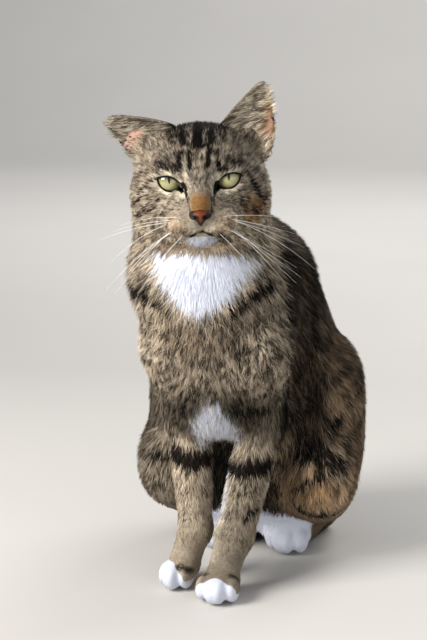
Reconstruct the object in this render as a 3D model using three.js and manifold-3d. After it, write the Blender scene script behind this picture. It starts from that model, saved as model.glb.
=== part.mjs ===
// A domestic short-haired cat at life size, sitting upright with its tail stretched along the floor.
// Millimetres, +Z up. The cat faces -Y and its own left side is +X.
// The origin is on the floor under the middle of the cat, the tail included.
// Every solid follows the outside of the coat, out to the tips of the hairs.
// Neighbouring solids part along a narrow seam, so that no two of them touch.
import * as THREE from "three";
import Module from "manifold-3d";

const wasm = await Module();
wasm.setup();

// ---- driving dimensions ----
const SEAM = 0.3; // clear gap between neighbouring solids
const BODY_CELL = 14.6; // facet size on the body
const LEG_CELL = 14.8; // facet size on the legs
const TAIL_CELL = 13.4; // facet size on the tail
const PAW_CELL = 8.6; // facet size on the paws
const PARTING_CELL = 24; // facet size of the hidden faces between a limb and the trunk
const HEAD_CELL = 7.3; // facet size on the head
const NOSE_CELL = 2.8; // facet size on the nose leather
const EYE_RADIUS = 10.5;
const EYE_SPACING = 39; // between the two pupils
const EYE_HEIGHT = 288; // of the point midway between the eyes, above the floor
const HEAD_TURN = 15; // degrees towards the cat's left
const HEAD_LIFT = 4; // degrees
const HEAD_TILT = -3; // degrees, the left side up
const LID_WIDTH = 15.2; // of the half-closed opening, corner to corner
const UPPER_LID = 3.4; // rise of the upper lid over the line between the corners
const LOWER_LID = 5; // drop of the lower lid under it
const LID_SLANT = 20; // degrees, the outer corner up
const LEFT = 1;
const RIGHT = -1;

// Centres that several forms share, in the body's own axes: the floor is z = 0.
const HEAD_CENTRE = [-8, -6, EYE_HEIGHT];
const EYE = [EYE_SPACING / 2, 0, 2]; // the left eye, in the head's axes
const RUMP_X = 3;
const HIND_SPREAD = 1.15; // width of the hind feet's toes, as a share of a plain foot
const FORELEGS = {
  [LEFT]: {
    shoulder: [28, 42, 195],
    point: [26, 22, 168],
    elbow: [24, 44, 118],
    wrist: [10.5, 17, 38],
    paw: [6, -4, 11.5],
    wristRadius: 14,
    toeOut: 0,
    spread: 1.1,
  },
  [RIGHT]: {
    shoulder: [-35, 42, 195],
    point: [-34, 24, 168],
    elbow: [-30, 46, 118],
    wrist: [-20, 26, 38],
    paw: [-27, 15, 11.5],
    wristRadius: 12.5,
    toeOut: -14,
    spread: 0.9,
  },
};
// Stations along the tail: where its middle runs, and its radius there.
const TAIL = [
  { at: [4, 178, 34], radius: 20 },
  { at: [5, 205, 21], radius: 17.5 },
  { at: [4, 235, 14.2], radius: 15 },
  { at: [-2, 270, 13.2], radius: 14 },
  { at: [-16, 303, 12.7], radius: 13.5 },
  { at: [-40, 328, 12.2], radius: 13 },
  { at: [-68, 340, 11.2], radius: 12 },
  { at: [-94, 337, 9], radius: 8 },
];

// ---- materials ----
function coat(colour) {
  return new THREE.MeshStandardMaterial({ color: colour, roughness: 0.9, metalness: 0 });
}
const TABBY = coat(0x7a6b59);
const TABBY_DARK = coat(0x5b4d3e);
const TABBY_PALE = coat(0x9a8870);
const WHITE_FUR = coat(0xe9e4da);
const EAR_SKIN = coat(0x8d7361);
const IRIS = new THREE.MeshStandardMaterial({ color: 0xb9c27a, roughness: 0.08, metalness: 0 });
const LEATHER = new THREE.MeshStandardMaterial({ color: 0x9c4a36, roughness: 0.55, metalness: 0 });

// ---- forms ----
// A form is a function of x, y, z: negative inside, zero on its surface, about the distance elsewhere.

// An ellipsoid.
function ball([cx, cy, cz], [rx, ry, rz]) {
  return (x, y, z) => {
    const u = (x - cx) / rx;
    const v = (y - cy) / ry;
    const w = (z - cz) / rz;
    const reach = Math.hypot(u, v, w);
    const slope = Math.hypot(u / rx, v / ry, w / rz) + 1e-9;
    return (reach * (reach - 1)) / slope;
  };
}

// A round bar between two points, its radius changing evenly from one end to the other.
function bone(a, b, radiusA, radiusB) {
  const along = b.map((value, i) => value - a[i]);
  const lengthSquared = along.reduce((sum, value) => sum + value * value, 0);
  return (x, y, z) => {
    const dx = x - a[0];
    const dy = y - a[1];
    const dz = z - a[2];
    const share = (dx * along[0] + dy * along[1] + dz * along[2]) / lengthSquared;
    const t = THREE.MathUtils.clamp(share, 0, 1);
    const gap = Math.hypot(dx - t * along[0], dy - t * along[1], dz - t * along[2]);
    return gap - radiusA - t * (radiusB - radiusA);
  };
}

// The smaller of two distances, rounded where they are nearly equal: a fillet about k wide.
function soften(a, b, k) {
  const h = Math.max(k - Math.abs(a - b), 0) / k;
  return Math.min(a, b) - (h * h * k) / 4;
}

// Forms joined one after another, each entry giving a form and the width of its fillet.
function blend(first, ...others) {
  return (x, y, z) => others.reduce((d, [form, k]) => soften(d, form(x, y, z), k), first(x, y, z));
}

// The nearest of several forms, with no fillet between them.
function nearest(...forms) {
  return (x, y, z) => Math.min(...forms.map((form) => form(x, y, z)));
}

// A form and its mirror image across the plane x = 0, rounded where they meet.
function paired(form) {
  const MEETING = 3;
  return (x, y, z) => form(Math.hypot(x, MEETING), y, z);
}

// A form cut off square at the sides of a box.
function boxed(form, low, high) {
  return (x, y, z) =>
    Math.max(form(x, y, z), low[0] - x, x - high[0], low[1] - y, y - high[1], low[2] - z, z - high[2]);
}

// A form seen from axes set at a place and turned by a matrix: the form itself is in those axes.
function placed(form, place, turn) {
  const e = turn.elements;
  return (x, y, z) => {
    const dx = x - place[0];
    const dy = y - place[1];
    const dz = z - place[2];
    return form(
      dx * e[0] + dy * e[1] + dz * e[2],
      dx * e[4] + dy * e[5] + dz * e[6],
      dx * e[8] + dy * e[9] + dz * e[10],
    );
  };
}

function turned(yaw, pitch, roll) {
  const [x, y, z] = [pitch, roll, yaw].map(THREE.MathUtils.degToRad);
  return new THREE.Matrix4().makeRotationFromEuler(new THREE.Euler(x, y, z, "ZXY"));
}

const HEAD_AXES = turned(HEAD_TURN, HEAD_LIFT, HEAD_TILT);

// The head, in its own axes: x to the cat's left, -y out of the face, the eyes level with z = 0.
function headForm() {
  const lids = EYE_RADIUS + 2;
  return blend(
    ball([0, 27, 4], [41, 37, 32]), // cranium
    [ball([0, 13, -5], [42, 25, 33]), 10], // face
    [paired(ball([30, 22, -14], [19, 24, 26])), 12], // cheek ruff
    [paired(ball([31, 35, 14], [15, 14, 16])), 10], // root of the ear
    [paired(ball([15, -1, 13.5], [14, 9, 8])), 10], // brow
    [ball([0, -8, -21], [28, 21, 14]), 9], // upper jaw
    [bone([0, -6, 3], [0, -28, -12], 11, 7.8), 9], // bridge of the nose
    [paired(ball([11.5, -21.5, -24], [12.5, 13, 9.5])), 6], // whisker pad
    [paired(bone([3, -17, -33], [22, 9, -27], 9, 16)), 7], // lower jaw
    [ball([0, -22, -34], [10, 8, 7]), 4], // chin
    [ball([0, -32, -17.5], [7.4, 5, 5]), 3], // tip of the nose
    [paired(ball(EYE, [lids, lids, lids])), 5], // lids
  );
}

function trunkForm() {
  return blend(
    bone([-28, 34, 256], [-20, 40, 222], 37, 41), // neck, right side
    [bone([-5, 36, 262], [-2, 46, 222], 32, 42), 8], // neck, left side
    [ball([-10, 42, 190], [50, 48, 58]), 20], // chest
    [ball([-11, 14, 222], [37, 22, 40]), 18], // bib
    [ball([-38, 34, 222], [30, 30, 34]), 16], // ruff, right side
    [bone([4, 72, 206], [5, 112, 136], 51.5, 66), 22], // ribs
    [ball([RUMP_X, 132, 88], [66, 68, 78]), 24], // belly and rump
    [ball([-44, 100, 130], [28, 44, 38]), 18], // flank, right side
    [ball([58, 116, 128], [23, 42, 34]), 16], // flank, left side
    [ball([-8, 38, 138], [34, 32, 34]), 18], // brisket
    [ball([RUMP_X, 150, 44], [50, 44, 45]), 20], // seat
  );
}

function forelegForm({ shoulder, point, elbow, wrist, wristRadius }) {
  return blend(
    bone(shoulder, point, 22, 22),
    [bone(point, elbow, 22, 20), 10],
    [bone(elbow, wrist, 20, wristRadius), 10],
  );
}

// The round front of a foot in its own axes, toes towards -y. Spread widens it.
function toesForm(spread) {
  const outer = paired(ball([9.8 * spread, -8, -2.2], [5.6 * spread, 9.5, 9.5]));
  const inner = paired(ball([3.2 * spread, -14, -2.2], [5.2 * spread, 9.5, 9.5]));
  return blend(ball([0, 0, 0], [14.5 * spread, 17, 13]), [outer, 3.5], [inner, 3.5]);
}

function forepawForm({ wrist, paw, wristRadius, toeOut, spread }) {
  const ankle = [paw[0], paw[1] + 8, paw[2] + 4.5];
  const toes = placed(toesForm(spread), paw, turned(toeOut, 0, 0));
  return blend(bone(wrist, ankle, wristRadius, 12), [toes, 8]);
}

function hindlegForm(side) {
  const x = (out) => RUMP_X + out * side;
  return blend(
    ball([x(50), 118, 84], [31, 56, 62]), // thigh
    [ball([x(58), 82, 74], [24, 26, 30]), 16], // knee
    [bone([x(56), 84, 58], [x(42), 160, 24], 22, 16), 14], // shank
  );
}

function hindfootForm(side) {
  const x = (out) => RUMP_X - 1 + out * side;
  const toes = placed(toesForm(HIND_SPREAD), [x(30), 108, 12.3], turned(-10 * side, 0, 0));
  return blend(bone([x(41), 164, 14], [x(33), 116, 13], 15, 13), [toes, 8]);
}

function tailForm() {
  const lengths = TAIL.slice(1).map((end, i) => bone(TAIL[i].at, end.at, TAIL[i].radius, end.radius));
  return blend(lengths[0], ...lengths.slice(1).map((length) => [length, 5]));
}

// ---- meshes of forms ----
// One vertex in each grid cell that the surface crosses, drawn onto the surface, and one square face
// for each grid edge that it crosses.
function meshOf(form, low, high, cell) {
  const count = low.map((value, i) => Math.ceil((high[i] - value) / cell) + 1);
  const index = (i, j, k) => (k * count[1] + j) * count[0] + i;
  const place = (i, j, k) => [low[0] + i * cell, low[1] + j * cell, low[2] + k * cell];
  const values = new Float64Array(count[0] * count[1] * count[2]);
  eachCell(count, (i, j, k) => {
    values[index(i, j, k)] = form(...place(i, j, k));
  });
  const vertexOf = new Map();
  const positions = [];
  eachCell(count.map((n) => n - 1), (i, j, k) => {
    const crossing = crossingOf(values, index, place, i, j, k);
    if (!crossing) return;
    vertexOf.set(index(i, j, k), positions.length / 3);
    positions.push(...drawnOnto(form, crossing, cell));
  });
  const triangles = [];
  const steps = [[1, 0, 0], [0, 1, 0], [0, 0, 1]];
  eachCell(count.map((n) => n - 1), (i, j, k) => {
    steps.forEach(([a, b, c], axis) => {
      const here = values[index(i, j, k)] < 0;
      const next = values[index(i + a, j + b, k + c)] < 0;
      if (here === next) return;
      const [u, v] = [steps[(axis + 1) % 3], steps[(axis + 2) % 3]];
      const corner = (m, n) =>
        vertexOf.get(index(i - m * u[0] - n * v[0], j - m * u[1] - n * v[1], k - m * u[2] - n * v[2]));
      const square = [corner(0, 0), corner(1, 0), corner(1, 1), corner(0, 1)];
      triangles.push(...splitSquare(positions, here ? square : square.reverse()));
    });
  });
  return { positions, triangles };
}

function eachCell([ni, nj, nk], visit) {
  for (let k = 0; k < nk; k += 1) {
    for (let j = 0; j < nj; j += 1) {
      for (let i = 0; i < ni; i += 1) visit(i, j, k);
    }
  }
}

// The mean of the points where the surface crosses one cell's edges, or null where it doesn't.
function crossingOf(values, index, place, i, j, k) {
  const mean = new THREE.Vector3();
  let crossings = 0;
  for (let edge = 0; edge < 12; edge += 1) {
    const axis = Math.floor(edge / 4);
    const start = [0, 0, 0];
    start[(axis + 1) % 3] = edge & 1;
    start[(axis + 2) % 3] = (edge >> 1) & 1;
    const end = start.map((value, n) => (n === axis ? 1 : value));
    const a = values[index(i + start[0], j + start[1], k + start[2])];
    const b = values[index(i + end[0], j + end[1], k + end[2])];
    if (a < 0 === b < 0) continue;
    const from = new THREE.Vector3(...place(i + start[0], j + start[1], k + start[2]));
    const to = new THREE.Vector3(...place(i + end[0], j + end[1], k + end[2]));
    mean.add(from.lerp(to, a / (a - b)));
    crossings += 1;
  }
  return crossings ? mean.divideScalar(crossings) : null;
}

function slopeOf(form, { x, y, z }) {
  const step = 0.05;
  return new THREE.Vector3(
    form(x + step, y, z) - form(x - step, y, z),
    form(x, y + step, z) - form(x, y - step, z),
    form(x, y, z + step) - form(x, y, z - step),
  ).divideScalar(2 * step);
}

// A point moved down the form's slope onto its surface, by no more than about a third of a cell.
function drawnOnto(form, point, cell) {
  const start = point.clone();
  for (let pass = 0; pass < 4; pass += 1) {
    const slope = slopeOf(form, point);
    point.addScaledVector(slope, -form(point.x, point.y, point.z) / Math.max(slope.lengthSq(), 0.1));
  }
  const move = point.sub(start).clampLength(0, cell * 0.35);
  return start.add(move).toArray();
}

// A four-cornered face as two triangles, cut along its shorter diagonal.
function splitSquare(positions, [a, b, c, d]) {
  const at = (n) => new THREE.Vector3().fromArray(positions, n * 3);
  const shorter = at(a).distanceTo(at(c)) < at(b).distanceTo(at(d));
  return shorter ? [a, b, c, a, c, d] : [a, b, d, b, c, d];
}

function solidOf({ positions, triangles }) {
  return new wasm.Manifold(
    new wasm.Mesh({
      numProp: 3,
      vertProperties: new Float32Array(positions),
      triVerts: new Uint32Array(triangles),
    }),
  );
}

// A three.js geometry as a solid: corners in the same place become one.
function solidFrom(geometry) {
  const source = geometry.getAttribute("position");
  const order = geometry.index ? geometry.index.array : Array.from({ length: source.count }, (_, i) => i);
  const known = new Map();
  const positions = [];
  const triangles = [];
  for (let n = 0; n < order.length; n += 1) {
    const point = new THREE.Vector3().fromBufferAttribute(source, order[n]);
    const key = point.toArray().map((value) => value.toFixed(4) * 1).join();
    if (!known.has(key)) {
      known.set(key, positions.length / 3);
      positions.push(...point.toArray());
    }
    triangles.push(known.get(key));
  }
  const kept = [];
  for (let n = 0; n < triangles.length; n += 3) {
    const [a, b, c] = triangles.slice(n, n + 3);
    if (a !== b && b !== c && c !== a) kept.push(a, b, c);
  }
  return solidOf({ positions, triangles: kept });
}

// The vertices and triangles of a solid, with the ends of every very short edge made one vertex.
// Cuts leave such edges, and faces that close up on each other once those are gone.
function welded(solid) {
  const SHORTEST = 0.05;
  const mesh = solid.getMesh();
  const at = (n) => new THREE.Vector3().fromArray(mesh.vertProperties, n * mesh.numProp);
  const owner = Array.from({ length: mesh.numVert }, (_, n) => n);
  const find = (n) => {
    let root = n;
    while (owner[root] !== root) root = owner[root];
    return root;
  };
  const faces = [];
  for (let n = 0; n < mesh.numTri * 3; n += 3) faces.push([...mesh.triVerts.subarray(n, n + 3)]);
  for (const face of faces) {
    face.forEach((a, i) => {
      const b = face[(i + 1) % 3];
      if (at(a).distanceTo(at(b)) < SHORTEST) owner[find(b)] = find(a);
    });
  }
  const kept = new Map();
  for (const face of faces) {
    const [a, b, c] = face.map(find);
    if (a === b || b === c || c === a) continue;
    const key = [a, b, c].sort((m, n) => m - n).join();
    if (kept.has(key)) kept.delete(key);
    else kept.set(key, [a, b, c]);
  }
  return { at, triangles: [...kept.values()].flat() };
}

function geometryOf(solid) {
  const { at, triangles } = welded(solid);
  const geometry = new THREE.BufferGeometry().setFromPoints(triangles.map(at));
  geometry.computeVertexNormals();
  return geometry;
}

// ---- cutting ----
// A cutter is a pair of solids: the piece keeps what is inside `keep`, and the rest loses `clear`,
// which is `keep` grown by the seam.
function cutterOfForm(form, grow, low, high, cell) {
  const grown = (extra) => (x, y, z) => form(x, y, z) - grow - extra;
  const mesh = meshOf(grown(0), low, high, cell);
  const wide = { positions: [...mesh.positions], triangles: mesh.triangles };
  for (let n = 0; n < wide.positions.length; n += 3) {
    const point = new THREE.Vector3().fromArray(wide.positions, n);
    point.addScaledVector(slopeOf(form, point).normalize(), SEAM).toArray(wide.positions, n);
  }
  return { keep: solidOf(mesh), clear: solidOf(wide) };
}

// Everything on one side of a plane through a point, facing along a normal, as a large slab.
function cutterOfPlane(point, normal) {
  const SIZE = 700;
  const slab = (extra) => {
    const box = new THREE.BoxGeometry(SIZE, SIZE, SIZE);
    const up = new THREE.Vector3(...normal).normalize();
    box.translate(0, 0, SIZE / 2 - extra);
    box.applyQuaternion(new THREE.Quaternion().setFromUnitVectors(new THREE.Vector3(0, 0, 1), up));
    box.translate(...point);
    return solidFrom(box);
  };
  return { keep: slab(0), clear: slab(SEAM) };
}

// Everything inside a box from one corner to the opposite one.
function cutterOfBox(low, high) {
  const block = (extra) => {
    const [width, depth, height] = high.map((value, i) => value - low[i] + 2 * extra);
    const box = new THREE.BoxGeometry(width, depth, height);
    box.translate(...high.map((value, i) => (value + low[i]) / 2));
    return solidFrom(box);
  };
  return { keep: block(0), clear: block(SEAM) };
}

// ---- the body ----
const cat = new THREE.Group();
const pieces = {};

const trunk = trunkForm();
const head = headForm();
const headInBody = placed(head, HEAD_CENTRE, HEAD_AXES);
const withHead = blend(trunk, [headInBody, 14]);
const tail = tailForm();
const limbs = {};
for (const [side, name] of [[LEFT, "left"], [RIGHT, "right"]]) {
  limbs[`foreleg_${name}`] = blend(forelegForm(FORELEGS[side]), [forepawForm(FORELEGS[side]), 6]);
  limbs[`hindleg_${name}`] = blend(hindlegForm(side), [hindfootForm(side), 8]);
}
const limbOnTrunk = (name) => blend(trunk, [limbs[name], name.startsWith("fore") ? 12 : 16]);
const tailOnTrunk = blend(trunk, [tail, 14]);
const body = nearest(withHead, tailOnTrunk, ...Object.keys(limbs).map(limbOnTrunk));

const FLOOR = cutterOfPlane([0, 0, 0], [0, 0, 1]);
const BODY_LOW = [-120, -64, -20];
const BODY_HIGH = [120, 375, 350];
const UNDER_HEAD_POINT = [0, -30, 243];
const UNDER_HEAD_NORMAL = [0, -0.232, 1];
const taken = [cutterOfPlane(UNDER_HEAD_POINT, UNDER_HEAD_NORMAL).clear];

// The largest of a solid's separate bodies, without the crumbs that a cut along a crease can leave.
function largest(solid) {
  return solid.decompose().reduce((most, body) => (body.volume() > most.volume() ? body : most));
}

// One sub-part: the solid of a form where it lies inside a cutter, less all that earlier ones took.
function part(name, form, cell, cutter) {
  const solid = solidOf(meshOf(form, BODY_LOW, BODY_HIGH, cell)).intersect(FLOOR.keep);
  const kept = cutter ? solid.intersect(cutter.keep) : solid;
  pieces[name] = largest(taken.reduce((left, clear) => left.subtract(clear), kept));
  if (cutter) taken.push(cutter.clear);
}

function limbCutter(form) {
  const GROWN = 6;
  return cutterOfForm(form, GROWN, BODY_LOW, BODY_HIGH, PARTING_CELL);
}

part("neck", withHead, BODY_CELL, cutterOfPlane([0, -5, 212], [0, -0.28, 1]));
part("tail", tailOnTrunk, TAIL_CELL, cutterOfPlane([0, 192, 20], [0, 1, -0.5]));
for (const [side, name] of [[LEFT, "left"], [RIGHT, "right"]]) {
  const [x, y] = FORELEGS[side].paw;
  const fore = cutterOfBox([x - 26, y - 40, -10], [x + 26, y + 40, 27]);
  part(`forepaw_${name}`, limbs[`foreleg_${name}`], PAW_CELL, fore);
  const middle = RUMP_X + 31 * side;
  const hind = cutterOfBox([middle - 24, 80, -10], [middle + 24, 126, 22]);
  part(`hindpaw_${name}`, hindfootForm(side), PAW_CELL, hind);
}
for (const [name, form] of Object.entries(limbs)) {
  part(name, limbOnTrunk(name), LEG_CELL, limbCutter(form));
}
part("trunk", body, BODY_CELL);

// ---- the head ----
// The head's solids are in the head's own axes, in a group that stands where the head does.
const fromHead = new THREE.Matrix4().copy(HEAD_AXES).setPosition(...HEAD_CENTRE);
const e = fromHead.elements;
const headAndNeck = (x, y, z) =>
  withHead(
    e[0] * x + e[4] * y + e[8] * z + e[12],
    e[1] * x + e[5] * y + e[9] * z + e[13],
    e[2] * x + e[6] * y + e[10] * z + e[14],
  );

// The cut under the head, seen in the head's axes.
function underHeadInHeadAxes() {
  const toHead = fromHead.clone().invert();
  const point = new THREE.Vector3(...UNDER_HEAD_POINT).applyMatrix4(toHead);
  const normal = new THREE.Vector3(...UNDER_HEAD_NORMAL).transformDirection(toHead);
  return cutterOfPlane(point.toArray(), normal.toArray());
}

// The opening between the lids: an almond between two arcs, carried forward out of the face.
function lidOpening(side) {
  const half = LID_WIDTH / 2;
  const arc = (rise) => (half * half + rise * rise) / (2 * rise);
  const [top, bottom] = [arc(UPPER_LID), arc(LOWER_LID)];
  const almond = new THREE.Shape();
  const topSpan = Math.asin(half / top);
  const bottomSpan = Math.asin(half / bottom);
  almond.absarc(0, UPPER_LID - top, top, Math.PI / 2 - topSpan, Math.PI / 2 + topSpan, false);
  almond.absarc(0, bottom - LOWER_LID, bottom, -Math.PI / 2 - bottomSpan, -Math.PI / 2 + bottomSpan, false);
  const FORWARD = 30;
  const prism = new THREE.ExtrudeGeometry(almond, { depth: FORWARD, bevelEnabled: false, curveSegments: 7 });
  prism.rotateX(Math.PI / 2);
  prism.rotateY(THREE.MathUtils.degToRad(-LID_SLANT * side));
  prism.translate(EYE[0] * side, -2, EYE[2]);
  return solidFrom(prism);
}

function eyeball(side, radius) {
  const sphere = new THREE.SphereGeometry(radius, 16, 10);
  sphere.rotateX(Math.PI / 2);
  sphere.translate(EYE[0] * side, EYE[1], EYE[2]);
  return solidFrom(sphere);
}

// The nose leather's outline from the front, carried back into the face: a wide top edge over the
// nostrils, narrowing to the split of the lip.
function leatherPrism(extra) {
  const [half, top, wing, tip] = [7.2 + extra, -13.2 + extra, -17.6 - extra, -23 - extra];
  const outline = new THREE.Shape();
  outline.moveTo(-half * 0.75, top);
  outline.quadraticCurveTo(0, top + 0.9, half * 0.75, top);
  outline.quadraticCurveTo(half * 1.1, (top + wing) / 2, half * 0.62, wing);
  outline.quadraticCurveTo(half * 0.3, tip + 1.5, 0, tip);
  outline.quadraticCurveTo(-half * 0.3, tip + 1.5, -half * 0.62, wing);
  outline.quadraticCurveTo(-half * 1.1, (top + wing) / 2, -half * 0.75, top);
  const prism = new THREE.ExtrudeGeometry(outline, { depth: 20 + extra, bevelEnabled: false, curveSegments: 4 });
  prism.rotateX(Math.PI / 2);
  prism.translate(0, -28 + extra, 0);
  return solidFrom(prism);
}

// A pinna: a cupped sheet between an inner and an outer edge that meet at the tip.
const EARS = {
  [LEFT]: {
    inner: [14, 18, 33], // foot of the edge nearer the crown
    outer: [50, 20, 8], // foot of the edge nearer the cheek
    tip: [47.5, 27, 63],
    back: [-0.22, 0.95, 0.18], // the way the cup is hollowed
    hollow: 15,
    innerCurve: 1.15,
    outerCurve: 1.8,
  },
  [RIGHT]: {
    inner: [-14, 14, 34],
    outer: [-47, 22, 9],
    tip: [-63, 40, 41],
    back: [0.3, 0.8, 0.5],
    hollow: 14,
    innerCurve: 1.5,
    outerCurve: 1.1,
  },
};
const EAR_ROOT = -0.16; // how far the sheet runs on into the head, as a share of the ear's length
const EAR_TAPER = 1.2; // how fast the sheet narrows below its root
const EAR_THICK = 3.4;

// The solid sheet of one ear.
function pinna(side) {
  const ear = EARS[side];
  const inner = new THREE.Vector3(...ear.inner);
  const outer = new THREE.Vector3(...ear.outer);
  const base = inner.clone().add(outer).divideScalar(2);
  const across = outer.clone().sub(inner);
  const half = across.length() / 2;
  across.normalize();
  const length = new THREE.Vector3(...ear.tip).sub(base);
  const back = new THREE.Vector3(...ear.back).normalize();
  const ACROSS = 7;
  const ALONG = 6;
  const point = (i, j, face) => {
    const u = -Math.cos((Math.PI * i) / ACROSS);
    const v = EAR_ROOT + (1 - EAR_ROOT) * (1 - (1 - j / ALONG) ** 1.25) - 0.02;
    const w = Math.max(v, 0);
    const low = -half * (1 - w ** ear.innerCurve) - Math.min(v, 0) * half * EAR_TAPER;
    const high = half * (1 - w ** ear.outerCurve) + Math.min(v, 0) * half * EAR_TAPER;
    const depth = ear.hollow * Math.max(1 - v, 0) ** 0.9 * (1 - u * u) ** 0.7;
    const thick = ((EAR_THICK - w) / 2) * (0.35 + 0.65 * (1 - u * u) ** 0.5);
    return base
      .clone()
      .addScaledVector(across, THREE.MathUtils.lerp(low, high, (u + 1) / 2))
      .addScaledVector(length, v)
      .addScaledVector(back, depth + face * thick);
  };
  const positions = [];
  const row = ACROSS + 1;
  const sheet = row * (ALONG + 1);
  for (const face of [-1, 1]) {
    for (let j = 0; j <= ALONG; j += 1) {
      for (let i = 0; i <= ACROSS; i += 1) positions.push(...point(i, j, face).toArray());
    }
  }
  const triangles = [];
  const square = (a, b, c, d) => triangles.push(a, b, c, a, c, d);
  for (let j = 0; j < ALONG; j += 1) {
    for (let i = 0; i < ACROSS; i += 1) {
      const a = j * row + i;
      square(a, a + 1, a + row + 1, a + row);
      square(sheet + a, sheet + a + row, sheet + a + row + 1, sheet + a + 1);
    }
    square(j * row, (j + 1) * row, sheet + (j + 1) * row, sheet + j * row);
    const last = j * row + ACROSS;
    square(last, sheet + last, sheet + last + row, last + row);
  }
  for (let i = 0; i < ACROSS; i += 1) {
    square(i, sheet + i, sheet + i + 1, i + 1);
    const top = ALONG * row + i;
    square(top, top + 1, sheet + top + 1, sheet + top);
  }
  if (side === RIGHT) {
    for (let n = 0; n < triangles.length; n += 3) {
      [triangles[n + 1], triangles[n + 2]] = [triangles[n + 2], triangles[n + 1]];
    }
  }
  return solidOf({ positions, triangles });
}

// The head's form inside a box, closed off square a little inside the box's sides.
function headInside(low, high, cell) {
  const inset = (corner, sign) => corner.map((value) => value + sign * cell * 1.5);
  return cutterOfForm(boxed(headAndNeck, inset(low, 1), inset(high, -1)), 0, low, high, cell);
}

const underHead = underHeadInHeadAxes();
const wholeHead = headInside([-62, -46, -62], [62, 82, 52], HEAD_CELL);
const noseTip = headInside([-16, -44, -32], [16, -20, -6], NOSE_CELL);
const headPieces = {};
let skull = wholeHead.keep.intersect(underHead.keep).subtract(leatherPrism(SEAM));
for (const [side, name] of [[LEFT, "left"], [RIGHT, "right"]]) {
  skull = skull.subtract(eyeball(side, EYE_RADIUS + SEAM)).subtract(lidOpening(side));
  headPieces[`eye_${name}`] = eyeball(side, EYE_RADIUS);
  headPieces[`ear_${name}`] = pinna(side).subtract(wholeHead.clear);
}
headPieces.nose = leatherPrism(0).intersect(noseTip.keep);
headPieces.head = skull;

// ---- the scene graph ----
const COLOURS = {
  head: TABBY,
  neck: TABBY,
  trunk: TABBY_DARK,
  tail: TABBY_DARK,
  nose: LEATHER,
  ear: EAR_SKIN,
  eye: IRIS,
  foreleg: TABBY,
  hindleg: TABBY_PALE,
  forepaw: WHITE_FUR,
  hindpaw: WHITE_FUR,
};

function meshFrom(name, solid) {
  const mesh = new THREE.Mesh(geometryOf(solid), COLOURS[name.split("_")[0]]);
  mesh.name = name;
  return mesh;
}

for (const [name, solid] of Object.entries(pieces)) cat.add(meshFrom(name, solid));
const headGroup = new THREE.Group();
headGroup.applyMatrix4(fromHead);
for (const [name, solid] of Object.entries(headPieces)) headGroup.add(meshFrom(name, solid));
cat.add(headGroup);

cat.updateMatrixWorld(true);
const whole = new THREE.Box3().setFromObject(cat, true);
const middle = whole.getCenter(new THREE.Vector3());
cat.position.set(-middle.x, -middle.y, -whole.min.z);

export default cat;
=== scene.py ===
"""A domestic short-haired tabby cat with white markings, sitting upright, at life size.

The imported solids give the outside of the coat. Here one skin lies inside them, and tufts of solid hair
grow from it along the lie of the coat, with separate eyes, nose leather and whiskers.

Forms are functions of points, in millimetres, in body axes: the cat faces -y, its left side is +x and
the floor is z = 0. Points are arrays of three rows, x, y and z. Head axes stand midway between the eyes
and turn with the head. Meshes are in metres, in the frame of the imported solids.
"""

from __future__ import annotations

import logging
from dataclasses import dataclass, field
from enum import Enum
from itertools import product
from typing import Callable, Sequence

import bmesh
import bpy
import numpy as np
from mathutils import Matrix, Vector


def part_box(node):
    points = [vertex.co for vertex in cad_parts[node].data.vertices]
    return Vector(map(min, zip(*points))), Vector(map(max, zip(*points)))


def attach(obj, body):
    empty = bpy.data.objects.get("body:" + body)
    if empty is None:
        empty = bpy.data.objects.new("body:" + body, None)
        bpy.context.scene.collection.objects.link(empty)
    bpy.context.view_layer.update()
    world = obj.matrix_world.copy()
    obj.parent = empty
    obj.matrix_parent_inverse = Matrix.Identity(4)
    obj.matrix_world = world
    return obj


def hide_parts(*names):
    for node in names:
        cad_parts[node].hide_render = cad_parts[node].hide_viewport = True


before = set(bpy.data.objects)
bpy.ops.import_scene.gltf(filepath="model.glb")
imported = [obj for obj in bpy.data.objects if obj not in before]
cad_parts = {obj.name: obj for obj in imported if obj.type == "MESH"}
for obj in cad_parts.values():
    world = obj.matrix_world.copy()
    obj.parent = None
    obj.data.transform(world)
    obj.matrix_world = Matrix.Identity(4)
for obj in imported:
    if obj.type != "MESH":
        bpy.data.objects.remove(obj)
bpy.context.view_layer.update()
LOG = logging.getLogger("cat")

Array = np.ndarray
Form = Callable[[Array], Array]
Triple = Sequence[float]
Piece, Mesh, Material = bpy.types.Object, bpy.types.Mesh, bpy.types.Material
NodeTree, Node, Socket = bpy.types.NodeTree, bpy.types.Node, bpy.types.NodeSocket
MILLIMETRE = 0.001
FAR = 1e3
LEFT, RIGHT = SIDES = 1, -1
CORNERS = tuple(product((0, 1), repeat=3))


# ---- arithmetic on points ----
def vec(values: Triple) -> Array:
    """A point as a column that broadcasts over rows x, y and z."""
    return np.array(values, np.float32).reshape(3, 1)


def size_of(v: Array) -> Array:
    """The length of each column."""
    return np.sqrt((v * v).sum(0))


def unit(v: Array) -> Array:
    """Each column scaled to length one."""
    return v / np.maximum(size_of(v), 1e-9)


def dot(a: Array, b: Array) -> Array:
    """The scalar product, column by column."""
    return (a * b).sum(0)


def cross(a: Array, b: Array) -> Array:
    """The vector product, column by column."""
    return np.cross(a, b, axis=0)


def ramp(x: Array, low: float, high: float) -> Array:
    """A smooth rise from 0 at low to 1 at high."""
    t = np.clip((x - low) / (high - low), 0.0, 1.0)
    return t * t * (3.0 - 2.0 * t)


def fall(x: Array, low: float, high: float) -> Array:
    """A smooth fall from 1 at low to 0 at high."""
    return 1 - ramp(x, low, high)


def most(*values: Array) -> Array:
    """The greatest of several values at each point."""
    return np.maximum.reduce(values)


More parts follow.
